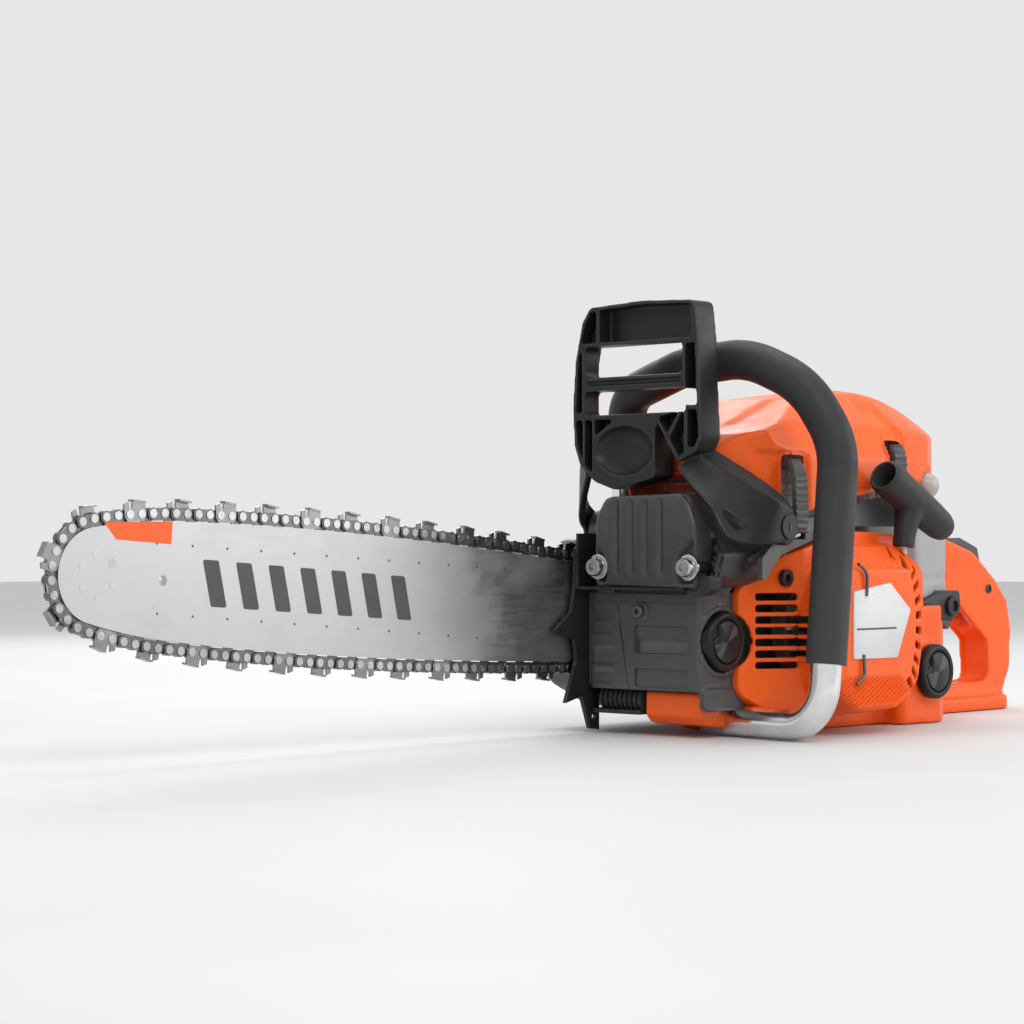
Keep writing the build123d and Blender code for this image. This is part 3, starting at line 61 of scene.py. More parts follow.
def rounded(points, radius, steps=5):
    """Closed outline with its corners rounded, by one radius or one for each corner."""
    outline = []
    for i, point in enumerate(points):
        corner = Vector(point)
        back = Vector(points[i - 1]) - corner
        ahead = Vector(points[(i + 1) % len(points)]) - corner
        size = radius[i] if isinstance(radius, (list, tuple)) else radius
        half = back.angle(ahead) / 2
        reach = min(size / max(math.tan(half), 0.05), 0.48 * back.length, 0.48 * ahead.length)
        start = corner + back.normalized() * reach
        end = corner + ahead.normalized() * reach
        for k in range(steps + 1):
            t = k / steps
            outline.append((1 - t) ** 2 * start + 2 * t * (1 - t) * corner + t * t * end)
    return outline


def placed(axis, point, along):
    """Point in the model's frame for an outline's point and a place along its axis."""
    a, b = point
    return {"x": (along, a, b), "y": (a, along, b), "z": (a, b, along)}[axis]


def as_object(name, mesh):
    """Puts a mesh in the scene."""
    obj = bpy.data.objects.new(name, mesh)
    bpy.context.scene.collection.objects.link(obj)
    return obj


def from_rings(name, rings, closed=True):
    """Skin through rings of points, with both ends closed."""
    mesh = bpy.data.meshes.new(name)
    count = len(rings[0])
    points = [tuple(c * MM for c in p) for ring in rings for p in ring]
    faces = []
    for r in range(len(rings) - 1):
        for i in range(count):
            j = (i + 1) % count
            faces.append((r * count + i, r * count + j, (r + 1) * count + j, (r + 1) * count + i))
    if closed:
        faces.append(tuple(range(count)))
        faces.append(tuple(reversed(range((len(rings) - 1) * count, len(rings) * count))))
    mesh.from_pydata(points, [], faces)
    b = bmesh.new()
    b.from_mesh(mesh)
    bmesh.ops.recalc_face_normals(b, faces=b.faces)
    b.to_mesh(mesh)
    b.free()
    return as_object(name, mesh)


def prism(name, axis, outline, low, high):
    """Solid with one outline all along its axis."""
    return from_rings(name, [[placed(axis, p, s) for p in outline] for s in (low, high)])


def block(name, x, y, z):
    """Box between pairs of limits."""
    return prism(name, "z", [(x[0], y[0]), (x[1], y[0]), (x[1], y[1]), (x[0], y[1])], z[0], z[1])


def circle(centre, radius, count=32, squash=1.0):
    """Points round a circle."""
    return [(centre[0] + radius * math.cos(t), centre[1] + radius * squash * math.sin(t))
            for t in (2 * math.pi * k / count for k in range(count))]


def turned(name, origin, direction, profile, count=40):
    """Round solid about an axis: profile is (distance along the axis, radius) pairs."""
    axis = Vector(direction).normalized()
    side = axis.orthogonal().normalized()
    other = axis.cross(side)
    rings = []
    for along, radius in profile:
        middle = Vector(origin) + axis * along
        rings.append([tuple(middle + (side * math.cos(t) + other * math.sin(t)) * max(radius, 0.01))
                      for t in (2 * math.pi * k / count for k in range(count))])
    return from_rings(name, rings)


def settle(obj):
    """Applies every modifier on a piece."""
    graph = bpy.context.evaluated_depsgraph_get()
    mesh = bpy.data.meshes.new_from_object(obj.evaluated_get(graph))
    obj.modifiers.clear()
    obj.data = mesh
    return obj


def cut(base, *others):
    """Takes other solids, which are used up, out of a base solid."""
    for other in others:
        m = base.modifiers.new("combine", "BOOLEAN")
        m.operation = "DIFFERENCE"
        m.object = other
        m.solver = "EXACT"
    settle(base)
    for other in others:
        bpy.data.objects.remove(other)
    return base


def moulded(obj, voxel, rounds):
    """Even skin over a solid, with its edges softened as on a moulding or a casting."""
    m = obj.modifiers.new("skin", "REMESH")
    m.mode = "VOXEL"
    m.voxel_size = voxel * MM
    s = obj.modifiers.new("soften", "SMOOTH")
    s.factor = 0.5
    s.iterations = rounds
    return settle(obj)


def relief(obj, height):
    """Moves a skin along its normals by a function of its points, in millimetres."""
    count = len(obj.data.vertices)
    place = np.empty(count * 3)
    normal = np.empty(count * 3)
    obj.data.vertices.foreach_get("co", place)
    obj.data.vertices.foreach_get("normal", normal)
    place = place.reshape(-1, 3) / MM
    normal = normal.reshape(-1, 3)
    place += normal * height(place, normal)[:, None]
    obj.data.vertices.foreach_set("co", (place * MM).ravel())
    obj.data.update()
    return obj


def warp(obj, move):
    """Moves a piece's points by a function that gives their new places."""
    place = np.empty(len(obj.data.vertices) * 3)
    obj.data.vertices.foreach_get("co", place)
    place = move(place.reshape(-1, 3) / MM)
    obj.data.vertices.foreach_set("co", (place * MM).ravel())
    obj.data.update()
    return obj


def step(x, low, high):
    """Smooth 0 to 1 step, on numbers or arrays."""
    t = np.clip((x - low) / (high - low), 0, 1)
    return t * t * (3 - 2 * t)


def band(x, low, high, edge=0.8):
    """1 between low and high with soft edges, 0 outside."""
    return step(x, low - edge, low + edge) * (1 - step(x, high - edge, high + edge))


def bevelled(obj, width, angle=35, segments=2):
    m = obj.modifiers.new("edges", "BEVEL")
    m.width = width * MM
    m.segments = segments
    m.limit_method = "ANGLE"
    m.angle_limit = math.radians(angle)
    m.harden_normals = False
    return settle(obj)


def shaded(obj, angle=40):
    """Smooth shading that keeps edges sharper than an angle."""
    obj.data.shade_smooth()
    b = bmesh.new()
    b.from_mesh(obj.data)
    limit = math.radians(angle)
    for edge in b.edges:
        edge.smooth = not (edge.is_manifold and edge.calc_face_angle(0) > limit)
    b.to_mesh(obj.data)
    b.free()
    return obj


def finished(obj, material, body, replaces=(), angle=40):
    """Gives a piece its material, its shading and the CAD body that it rides on."""
    obj.data.materials.clear()
    obj.data.materials.append(material)
    shaded(obj, angle)
    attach(obj, body)
    if replaces:
        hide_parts(*replaces)
    return obj


def spline_points(points, count):
    """Evenly spaced points on a smooth curve through some points."""
    p = [Vector(q) for q in points]
    p = [2 * p[0] - p[1]] + p + [2 * p[-1] - p[-2]]
    fine = []
    for i in range(1, len(p) - 2):
        for k in range(20):
            t = k / 20
            fine.append(0.5 * ((2 * p[i]) + (p[i + 1] - p[i - 1]) * t
                               + (2 * p[i - 1] - 5 * p[i] + 4 * p[i + 1] - p[i + 2]) * t * t
                               + (3 * p[i] - p[i - 1] - 3 * p[i + 1] + p[i + 2]) * t ** 3))
    fine.append(p[-2])
    lengths = np.cumsum([0] + [(b - a).length for a, b in zip(fine, fine[1:])])
    return [fine[int(np.argmin(abs(lengths - lengths[-1] * k / (count - 1))))] for k in range(count)]


def sweep(name, path, radius, count=20, squash=1.0):
    """Tube along a path, with one radius or one for each point."""
    rings = []
    up = Vector((0, 0, 1))
    for i, point in enumerate(path):
        ahead = (path[min(i + 1, len(path) - 1)] - path[max(i - 1, 0)]).normalized()
        side = ahead.cross(up)
        if side.length < 0.1:
            side = ahead.cross(Vector((0, 1, 0)))
        side.normalize()
        up = side.cross(ahead).normalized()
        size = radius[i] if isinstance(radius, (list, tuple)) else radius
        rings.append([tuple(point + (side * math.cos(t) + up * squash * math.sin(t)) * size)
                      for t in (2 * math.pi * k / count for k in range(count))])
    return from_rings(name, rings)


def web(name, lower, upper, thickness, count=24, rows=8):
    """Plate stretched between two curves, with a thickness."""
    a = spline_points(lower, count)
    b = spline_points(upper, count)
    grid = [[a[i].lerp(b[i], r / rows) for i in range(count)] for r in range(rows + 1)]
    points = [tuple(q * MM) for row in grid for q in row]
    faces = [(r * count + i, r * count + i + 1, (r + 1) * count + i + 1, (r + 1) * count + i)
             for r in range(rows) for i in range(count - 1)]
    mesh = bpy.data.meshes.new(name)
    mesh.from_pydata(points, [], faces)
    obj = as_object(name, mesh)
    m = obj.modifiers.new("thick", "SOLIDIFY")
    m.thickness = thickness * MM
    m.offset = 0
    m.use_even_offset = True
    return settle(obj)


# ---------------------------------------------------------------------------
# Materials
# ---------------------------------------------------------------------------

class Nodes:
    """Short way to add and join shader nodes."""

    def __init__(self, name):
        self.material = bpy.data.materials.new(name)
        self.material.use_nodes = True
        self.tree = self.material.node_tree
        self.shader = self.tree.nodes["Principled BSDF"]
        where = self.add("ShaderNodeTexCoord")
        self.place = where.outputs["Object"]

    def add(self, kind, **settings):
        node = self.tree.nodes.new(kind)
        for key, value in settings.items():
            setattr(node, key, value)
        return node

    def join(self, source, target):
        self.tree.links.new(source, target)

    def stretched(self, scale):
        node = self.add("ShaderNodeMapping")
        node.inputs["Scale"].default_value = scale
        self.join(self.place, node.inputs["Vector"])
        return node.outputs["Vector"]

    def noise(self, scale, detail=4, rough=0.5, place=None):
        node = self.add("ShaderNodeTexNoise")
        node.inputs["Scale"].default_value = scale
        node.inputs["Detail"].default_value = detail
        node.inputs["Roughness"].default_value = rough
        self.join(place or self.place, node.inputs["Vector"])
        return node.outputs["Fac"]

    def spread(self, value, low, high, start=0.35, end=0.65):
        """Maps a noise's usual range to two numbers."""
        node = self.add("ShaderNodeMapRange")
        node.inputs["From Min"].default_value = start
        node.inputs["From Max"].default_value = end
        node.inputs["To Min"].default_value = low
        node.inputs["To Max"].default_value = high
        self.join(value, node.inputs["Value"])
        return node.outputs["Result"]

    def mixed(self, share, a, b):
        """Colour between two colours or sockets."""
        node = self.add("ShaderNodeMix", data_type="RGBA")
        for socket, value in ((node.inputs[6], a), (node.inputs[7], b)):
            if isinstance(value, (tuple, list)):
                socket.default_value = (*value[:3], 1)
            else:
                self.join(value, socket)
        self.join(share, node.inputs["Factor"])
        return node.outputs[2]

    def maths(self, operation, a, b):
        node = self.add("ShaderNodeMath", operation=operation)
        for socket, value in zip(node.inputs, (a, b)):
            if isinstance(value, (int, float)):
                socket.default_value = value
            else:
                self.join(value, socket)
        return node.outputs["Value"]

    def bumps(self, height, strength, distance=0.0004, under=None):
        node = self.add("ShaderNodeBump")
        node.inputs["Strength"].default_value = strength
        node.inputs["Distance"].default_value = distance
        self.join(height, node.inputs["Height"])
        if under:
            self.join(under, node.inputs["Normal"])
        return node.outputs["Normal"]

    def worn(self):
        """0 to 1 on outward edges."""
        node = self.add("ShaderNodeNewGeometry")
        return self.spread(node.outputs["Pointiness"], 0, 1, 0.52, 0.60)


def scaled(colour, factor):
    return tuple(c * factor for c in colour)


def plastic(name, colour, rough, grain=900, bump=0.12, coat=0.0, wear=0.12, vary=0.06):
    """Moulded plastic: fine grain, faint flow marks and paler worn edges."""
    n = Nodes(name)
    broad = n.noise(22, 3)
    fine = n.noise(grain, 2, 0.6)
    base = n.mixed(n.spread(broad, 0, 1), scaled(colour, 1 - vary), scaled(colour, 1 + vary))
    paler = tuple(c + (0.55 - c) * 0.25 for c in colour)
    edge = n.maths("MULTIPLY", n.worn(), wear)
    n.join(n.mixed(edge, base, paler), n.shader.inputs["Base Color"])
    n.join(n.spread(n.noise(60, 5, 0.6), rough - 0.05, rough + 0.07), n.shader.inputs["Roughness"])
    n.join(n.bumps(fine, bump, 0.0002), n.shader.inputs["Normal"])
    n.shader.inputs["Specular IOR Level"].default_value = 0.3
    n.shader.inputs["Coat Weight"].default_value = coat
    n.shader.inputs["Coat Roughness"].default_value = 0.25
    return n.material


def metal(name, colour, rough, brush=(60, 900, 900), bump=0.15, metallic=1.0, stain=None, vary=0.12):
    """Metal with brush lines along one direction, smudges and optional staining."""
    n = Nodes(name)
    lines = n.noise(1.0, 3, 0.6, n.stretched(brush))
    smudge = n.noise(35, 5, 0.62)
    base = n.mixed(n.spread(smudge, 0, 1), scaled(colour, 1 - vary), scaled(colour, 1 + vary))
    if stain:
        blotch = n.spread(n.noise(90, 6, 0.7), 0, 0.6, 0.5, 0.72)
        base = n.mixed(blotch, base, stain)
    n.join(base, n.shader.inputs["Base Color"])
    both = n.maths("ADD", n.spread(lines, -0.05, 0.05), n.spread(smudge, rough - 0.04, rough + 0.08))
    n.join(both, n.shader.inputs["Roughness"])
    n.join(n.bumps(lines, bump, 0.0001), n.shader.inputs["Normal"])
    n.shader.inputs["Metallic"].default_value = metallic
    return n.material


def casting(name, colour, rough, metallic=0.35, pits=500, bump=0.35):
    """Coated die casting: fine orange peel, small pits, rubbed edges."""
    n = Nodes(name)
    peel = n.noise(pits, 3, 0.6)
    broad = n.noise(30, 4)
    base = n.mixed(n.spread(broad, 0, 1), scaled(colour, 0.9), scaled(colour, 1.1))
    edge = n.maths("MULTIPLY", n.worn(), 0.35)
    n.join(n.mixed(edge, base, tuple(min(1, c * 2.2) for c in colour)), n.shader.inputs["Base Color"])
    n.join(n.spread(n.noise(120, 4), rough - 0.06, rough + 0.08), n.shader.inputs["Roughness"])
    n.join(n.bumps(peel, bump, 0.00025), n.shader.inputs["Normal"])
    n.shader.inputs["Metallic"].default_value = metallic
    return n.material


def rope_material(name, colour):
    n = Nodes(name)
    weave = n.add("ShaderNodeTexWave")
    weave.inputs["Scale"].default_value = 220
    weave.inputs["Distortion"].default_value = 1.5
    n.join(n.place, weave.inputs["Vector"])
    n.join(n.mixed(weave.outputs["Fac"], scaled(colour, 0.7), colour), n.shader.inputs["Base Color"])
    n.join(n.bumps(weave.outputs["Fac"], 0.5, 0.0004), n.shader.inputs["Normal"])
    n.shader.inputs["Roughness"].default_value = 0.85
    n.shader.inputs["Sheen Weight"].default_value = 0.3
    return n.material


def clear_plastic(name):
    n = Nodes(name)
    n.join(n.mixed(n.spread(n.noise(60, 3), 0, 1), (0.62, 0.6, 0.56), (0.78, 0.76, 0.72)),
           n.shader.inputs["Base Color"])
    n.shader.inputs["Roughness"].default_value = 0.12
    n.shader.inputs["Transmission Weight"].default_value = 0.45
    n.shader.inputs["IOR"].default_value = 1.45
    return n.material


ORANGE = plastic("orange_plastic", (0.87, 0.108, 0.004), 0.36, grain=1100, bump=0.05, coat=0.08, wear=0.1,
                 vary=0.03)
BLACK = plastic("black_plastic", (0.009, 0.0093, 0.01), 0.42, grain=1300, bump=0.12, wear=0.5)
CHARCOAL = plastic("charcoal_plastic", (0.013, 0.0133, 0.014), 0.4, grain=1300, bump=0.1, wear=0.5)
RUBBER = plastic("soft_rubber", (0.026, 0.0265, 0.028), 0.5, grain=1800, bump=0.2, wear=0.1)
GREY = casting("grey_magnesium", (0.075, 0.077, 0.08), 0.42)
PANEL_GREY = plastic("light_grey_plastic", (0.36, 0.37, 0.38), 0.36, grain=1200, bump=0.06)
COAT = casting("muffler_coating", (0.05, 0.051, 0.053), 0.4, metallic=0.3, bump=0.18)
CAST_ALUMINIUM = metal("cast_aluminium", (0.62, 0.63, 0.64), 0.4, (300, 300, 300), 0.3)
BLACK_STEEL = metal("black_steel", (0.035, 0.035, 0.037), 0.38, (300, 300, 300), 0.2, metallic=0.6)
BRIGHT = metal("bright_steel", (0.5, 0.5, 0.51), 0.2, (400, 400, 400), 0.08)
TUBE = metal("polished_tube", (0.78, 0.79, 0.8), 0.16, (500, 500, 30), 0.06)
BAR_STEEL = metal("ground_bar_steel", (0.5, 0.505, 0.51), 0.36, (40, 900, 1400), 0.1, vary=0.03)
CHAIN_STEEL = metal("blued_chain_steel", (0.17, 0.165, 0.165), 0.3, (500, 500, 500), 0.2,
                    stain=(0.09, 0.07, 0.05))
CHROMED = metal("hard_chromed_cutter", (0.27, 0.27, 0.28), 0.25, (500, 500, 500), 0.15,
                stain=(0.2, 0.18, 0.16))
BRASS = metal("brass_link", (0.62, 0.4, 0.16), 0.3, (500, 500, 500), 0.1)
LABEL = plastic("silver_label", (0.62, 0.63, 0.64), 0.3, grain=600, bump=0.03, wear=0)
MARKING = plastic("dark_marking", (0.075, 0.077, 0.08), 0.45, grain=600, bump=0.03, wear=0)
BRAZED = metal("wire_steel", (0.16, 0.15, 0.14), 0.35, (400, 400, 400), 0.1)
STAINLESS = metal("pressed_rivet", (0.5, 0.505, 0.51), 0.3, (400, 400, 400), 0.1)
RED = plastic("red_plastic", (0.5, 0.012, 0.01), 0.25, bump=0.04)
CLEAR = clear_plastic("clear_bulb")
FELT = rope_material("filter_felt", (0.75, 0.72, 0.62))
ROPE = rope_material("rope_braid", (0.78, 0.77, 0.72))

BY_SLOT = {"orange_plastic": ORANGE, "black_plastic": BLACK, "rubber": RUBBER, "magnesium": GREY,
           "grey_plastic": PANEL_GREY, "aluminium": CAST_ALUMINIUM, "muffler_coat": COAT,
           "black_steel": BLACK_STEEL, "bright_steel": BRIGHT, "bar_steel": BAR_STEEL,
           "chain_dark_steel": CHAIN_STEEL, "chain_chrome": CHROMED, "handle_tube": TUBE, "label": LABEL,
           "red_plastic": RED, "clear_plastic": CLEAR, "filter_felt": FELT, "rope": ROPE}


def dress_nodes():
    """Every CAD node gets its finish."""
    for part in frame["record"]["subparts"]:
        obj = NODES[part["node"]]
        obj.data.materials.clear()
        obj.data.materials.append(BY_SLOT[part["material_slot"]])


dress_nodes()


# ---------------------------------------------------------------------------
# Floor, light and camera
# ---------------------------------------------------------------------------

def studio():
    """Pale floor, even sky and four soft lamps."""
    mesh = bpy.data.meshes.new("floor")
    corners = [(-6, -6, 0), (6, -6, 0), (6, 6, 0), (-6, 6, 0)]
    mesh.from_pydata(corners, [], [(0, 1, 2, 3)])
    floor = as_object("floor", mesh)
    floor.location.z = -0.5 * MM
    n = Nodes("pale_floor")
    n.join(n.mixed(n.spread(n.noise(3, 2), 0, 1), (0.6, 0.6, 0.6), (0.63, 0.63, 0.63)),
           n.shader.inputs["Base Color"])
    n.shader.inputs["Roughness"].default_value = 0.7
    floor.data.materials.append(n.material)

    world = bpy.data.worlds.new("studio")
    world.use_nodes = True
    world.node_tree.nodes["Background"].inputs["Color"].default_value = (1, 1, 1, 1)
    world.node_tree.nodes["Background"].inputs["Strength"].default_value = 0.8
    bpy.context.scene.world = world

    def lamp(name, place, target, size, power):
        data = bpy.data.lights.new(name, "AREA")
        data.shape = "RECTANGLE"
        data.size, data.size_y = size
        data.energy = power
        obj = bpy.data.objects.new(name, data)
        obj.location = Vector(place) * MM
        obj.rotation_euler = (Vector(target) * MM - obj.location).to_track_quat("-Z", "Y").to_euler()
        bpy.context.scene.collection.objects.link(obj)

    lamp("key", (-900, -1300, 1500), (0, 0, 120), (1.2, 0.9), 12)
    lamp("side", (1300, -1500, 700), (0, -40, 120), (1.3, 1.0), 11)
    lamp("top", (100, 200, 1700), (0, 0, 100), (1.6, 0.8), 12)
    lamp("back", (900, 1400, 900), (0, 0, 120), (1.0, 0.8), 8)
    bpy.context.scene.view_settings.view_transform = "Standard"


def photo_camera():
    """Camera low in front, to the left of the bar."""
    data = bpy.data.cameras.new("camera")
    data.sensor_width = 36
    data.lens = 90.35
    data.clip_start = 0.05
    data.clip_end = 60
    obj = bpy.data.objects.new("camera", data)
    obj.location = Vector((-1359.7, -1097.9, 125.0)) * MM
    bearing = math.radians(46.4)
    pitch = math.atan(32 / 2570)
    aim = Vector((math.sin(bearing) * math.cos(pitch), math.cos(bearing) * math.cos(pitch), math.sin(pitch)))
    obj.rotation_mode = "QUATERNION"
    obj.rotation_quaternion = aim.to_track_quat("-Z", "Y")
    bpy.context.scene.collection.objects.link(obj)
    bpy.context.scene.camera = obj


studio()
photo_camera()


# ---------------------------------------------------------------------------
# Ways to build the pieces
# ---------------------------------------------------------------------------

def skin_of(node, voxel, rounds):
    """Softened copy of a CAD node, as the moulding or the casting that it stands for."""
    mesh = NODES[node].data.copy()
    mesh.transform(NODES[node].matrix_world)
    return moulded(as_object(node + "_skin", mesh), voxel, rounds)


def joined(base, *others):
    """Several closed shells in one mesh, for moulded() to fuse."""
    b = bmesh.new()
    for obj in (base, *others):
        b.from_mesh(obj.data)
    b.to_mesh(base.data)
    b.free()
    for obj in others:
        bpy.data.objects.remove(obj)
    return base


def ellipsoid(name, centre, radii, count=32, rows=16):
    rings = []
    for r in range(1, rows):
        t = math.pi * r / rows
        rings.append([(centre[0] - radii[0] * math.cos(t),
                       centre[1] + radii[1] * math.sin(t) * math.cos(2 * math.pi * k / count),
                       centre[2] + radii[2] * math.sin(t) * math.sin(2 * math.pi * k / count))
                      for k in range(count)])
    return from_rings(name, rings)


def rect(a, b):
    return [(a[0], b[0]), (a[1], b[0]), (a[1], b[1]), (a[0], b[1])]


def rounded_box(name, x, y, z, radius):
    """Block with its corners rounded in plan."""
    return prism(name, "z", rounded(rect(x, y), radius), z[0], z[1])


# ---------------------------------------------------------------------------
# Front hand guard
# ---------------------------------------------------------------------------

GUARD_EDGE = [(38, 281.5), (-6, 283.5), (-51, 281.5), (-54, 256), (-55.5, 217), (-57, 193), (-52, 184),
              (-37, 177.5),
              (-21, 203), (-18, 200), (-18, 168), (17, 160.5), (34, 166), (47, 177), (52, 190), (53.5, 216),
              (51, 247), (45, 272)]
GUARD_BACK = [(36, 277), (-6, 279), (-47, 277), (-50, 256), (-51.5, 217), (-53, 193), (-48, 188), (-38, 183),
              (-22, 208), (-14, 206), (-14, 173), (16, 166), (31, 170), (43, 180), (48, 192), (49.5, 216),
              (47, 246), (42, 270)]
GUARD_WINDOWS = [rect((-41, 43), (235, 255.5)), rect((-44, 43), (210, 226))]
GUARD_POCKETS = [[(-49, 258), (-48, 279.5), (-6, 281), (30, 279.5), (30, 258)],
                 [(33, 258), (33, 279), (38, 278.5), (43, 270), (47, 258)],
                 [(45.5, 212), (45.5, 254), (48.5, 250), (51, 212)],
                 [(-43.5, 214), (-43.5, 254), (-51.5, 254), (-53, 214)],
                 [(45, 179), (49.5, 190), (51, 207), (45, 207)],
                 [(36.5, 171), (43, 177), (43, 207), (36.5, 207)],
                 [(16, 207), (34.5, 207), (34.5, 196)],
                 [(-20, 207), (-39, 211), (-28, 196)],
                 [(-30, 193), (-41, 211), (-42.5, 211), (-42.5, 184), (-38, 181)],
                 [(-45, 187), (-45, 211), (-53, 211), (-54.5, 194), (-51, 187)]]
VIEW_WAY = Vector((0.724, 0.690, 0))      # the arm's window is punched along this line


def punched(name, points, y, half):
    """Cutter through points of one Y plane, along the line that the arm's window is punched."""
    rings = [[(x + VIEW_WAY.x * s, y + VIEW_WAY.y * s, z) for x, z in points] for s in (-half, half)]
    return from_rings(name, rings)


def hand_guard():
    """Hand guard with its arms. Gives back a copy of it as it stands when pushed."""
    edge = rounded(GUARD_EDGE, [5, 4, 6, 9, 9, 9, 5, 3, 1, 1, 4, 9, 8, 8, 9, 9, 9, 8])
    guard = prism("hand_guard_moulding", "x", edge, -92, -72)
    cutters = [prism("back", "x", rounded(GUARD_BACK, 3), -77, -60)]
    cutters += [prism("window", "x", rounded(w, 4), -120, -60) for w in GUARD_WINDOWS]
    cutters += [prism("pocket", "x", rounded(p, 1.8, 3), -120, -80) for p in GUARD_POCKETS]
    cutters += [prism("groove", "x", rounded(rect((-40, 41), (229.4, 232.6)), 1), -120, -90),
                ellipsoid("scoop", (-95, 9, 186), (13, 26, 17))]
    cut(guard, *cutters)
    arm = web("arm", [(-46, -87, 126), (-64, -87, 125), (-88, -84, 126), (-97, -79, 132), (-97, -68, 148),
                      (-94, -50, 162), (-90, -36, 174)],
              [(-40, -87, 148), (-52, -86, 152), (-66, -77, 161), (-76, -62, 172), (-82, -48, 182)], 4)
    cut(arm, punched("hole", rounded([(-105.5, 147.5), (-79, 135.5), (-93.5, 133.5), (-103.8, 141.5)], 2, 3),
                     -87, 40))
    flange = web("flange", [(-40, -87, 148), (-52, -86, 152), (-66, -77, 161), (-76, -62, 172),
                            (-82, -48, 182)],
                 [(-33, -83, 148), (-42, -80, 157), (-54, -71, 168), (-64, -57, 179), (-72, -46, 188)], 3)
    boss = turned("boss", (-42, -80, 136), (0, -1, 0), [(0, 12), (6, 12), (7.2, 11), (7.4, 9.6), (6.4, 9.2),
                                                        (6.4, 0)])
    joined(guard, arm, flange, boss)
    moulded(guard, 0.85, 3)
    pushed = as_object("pushed_guard", guard.data.copy())
    pivot = Vector((-42, 0, 136)) * MM
    pushed.data.transform(Matrix.Translation(pivot) @ Matrix.Rotation(math.radians(10.5), 4, (0, -1, 0))
                          @ Matrix.Translation(-pivot))
    finished(guard, CHARCOAL, "hand_guard", ["hand_guard"])

    far = web("guard_far_arm", [(-84, 46, 170), (-72, 62, 152), (-58, 75, 138), (-42, 77, 128)],
              [(-84, 46, 192), (-72, 62, 178), (-56, 75, 156), (-42, 77, 145)], 4.6)
    far_boss = turned("far_boss", (-42, 74, 136), (0, 1, 0), [(0, 11), (4.4, 11), (5.2, 10), (5.2, 0)])
    moulded(joined(far, far_boss), 0.9, 3)
    finished(far, CHARCOAL, "hand_guard")

    key = block("pivot_key", (-42.9, -41.1), (-90.5, -89.9), (133.2, 138.8))
    finished(key, MARKING, "saw_body")
    return pushed


# ---------------------------------------------------------------------------
# Muffler
# ---------------------------------------------------------------------------

FLUTES = (8, -4.5, -17, -29.5)
MUFFLER_BOLTS = ((23.5, 110), (-53, 110))


def muffler(pushed_guard):
    """Muffler with its flutes, base, posts and bolts, and room for the hand guard when it is pushed."""
    edge = rounded([(27, 98), (27.5, 120), (26, 143), (18, 156), (-44, 157.5), (-51, 154), (-59, 134),
                    (-67, 119),
                    (-66, 103), (-58, 97)], [5, 5, 8, 9, 7, 6, 8, 8, 7, 6])
    body = prism("muffler_casting", "x", edge, -100, -27)
    # The right-hand corner steps back behind the bolt
    cut(body, punched("corner", [(-130, 90), (-130, 160), (-98, 160), (-86, 122), (-98, 90)], -66, 12),
        pushed_guard)
    moulded(body, 1.3, 8)

    def form(place, normal):
        x, y, z = place.T
        face = step(-normal[:, 0], 0.4, 0.8)
        height = np.zeros(len(x))
        for flute in FLUTES:
            height -= 1.9 * np.exp(-((y - flute) / 1.5) ** 2) * band(z, 106, 153, 2)
            height += 0.9 * np.exp(-((y - flute - 6) / 3.4) ** 2) * band(z, 105, 154, 4)
        away = np.hypot(y + 57, (z - 108) * 0.75)
        height -= 5.5 * (1 - step(away, 11, 17)) * (1 - step(z, 128, 140))
        height -= 4.0 * (1 - step(np.hypot(y - 27, (z - 108) * 0.8), 8, 12))
        return height * face

    relief(body, form)
    finished(body, COAT, "saw_body", ["muffler"], 50)

    base = prism("muffler_base", "x", rounded([(29, 93), (29, 104), (18, 101), (-46, 100), (-52, 104),
                                               (-68, 105),
                                               (-68, 96), (-60, 92)], 3), -96, -84.5)
    cut(base, prism("slot", "x", rounded(rect((-48, 14), (88, 98)), 2), -120, -88))
    finished(bevelled(base, 0.8), BLACK, "saw_body")

    for i, (y, z) in enumerate(MUFFLER_BOLTS):
        post = turned(f"muffler_post_{i}", (-84, y, z), (-1, 0, 0),
                      [(0, 6), (12, 6), (13, 7.6), (15, 7.8), (15.4, 7.2), (15.4, 0)])
        finished(post, BLACK_STEEL, "saw_body")
        bolt = turned(f"muffler_bolt_{i}", (-99.3, y, z), (-1, 0, 0),
                      [(0, 8.2), (1.3, 8.2), (1.6, 7.6), (1.6, 6.2), (5.6, 6.1), (7.0, 5.4), (7.2, 0)], 48)
        cut(bolt, turned("socket", (-108, y, z), (1, 0, 0), [(0, 2.9), (5, 2.9), (5, 0)], 6))
        finished(bolt, BRIGHT, "saw_body", ["muffler_bolts"] if i == 0 else ())


# ---------------------------------------------------------------------------
# Crankcase front and oil tank
# ---------------------------------------------------------------------------

PANEL_POCKETS = [rect((-41, 4), (53.5, 72)), rect((-41, 4), (31.5, 44)), rect((22, 42), (55, 67)),
                 rect((22, 42), (33, 47)),
                 rect((22, 42), (74, 82))]


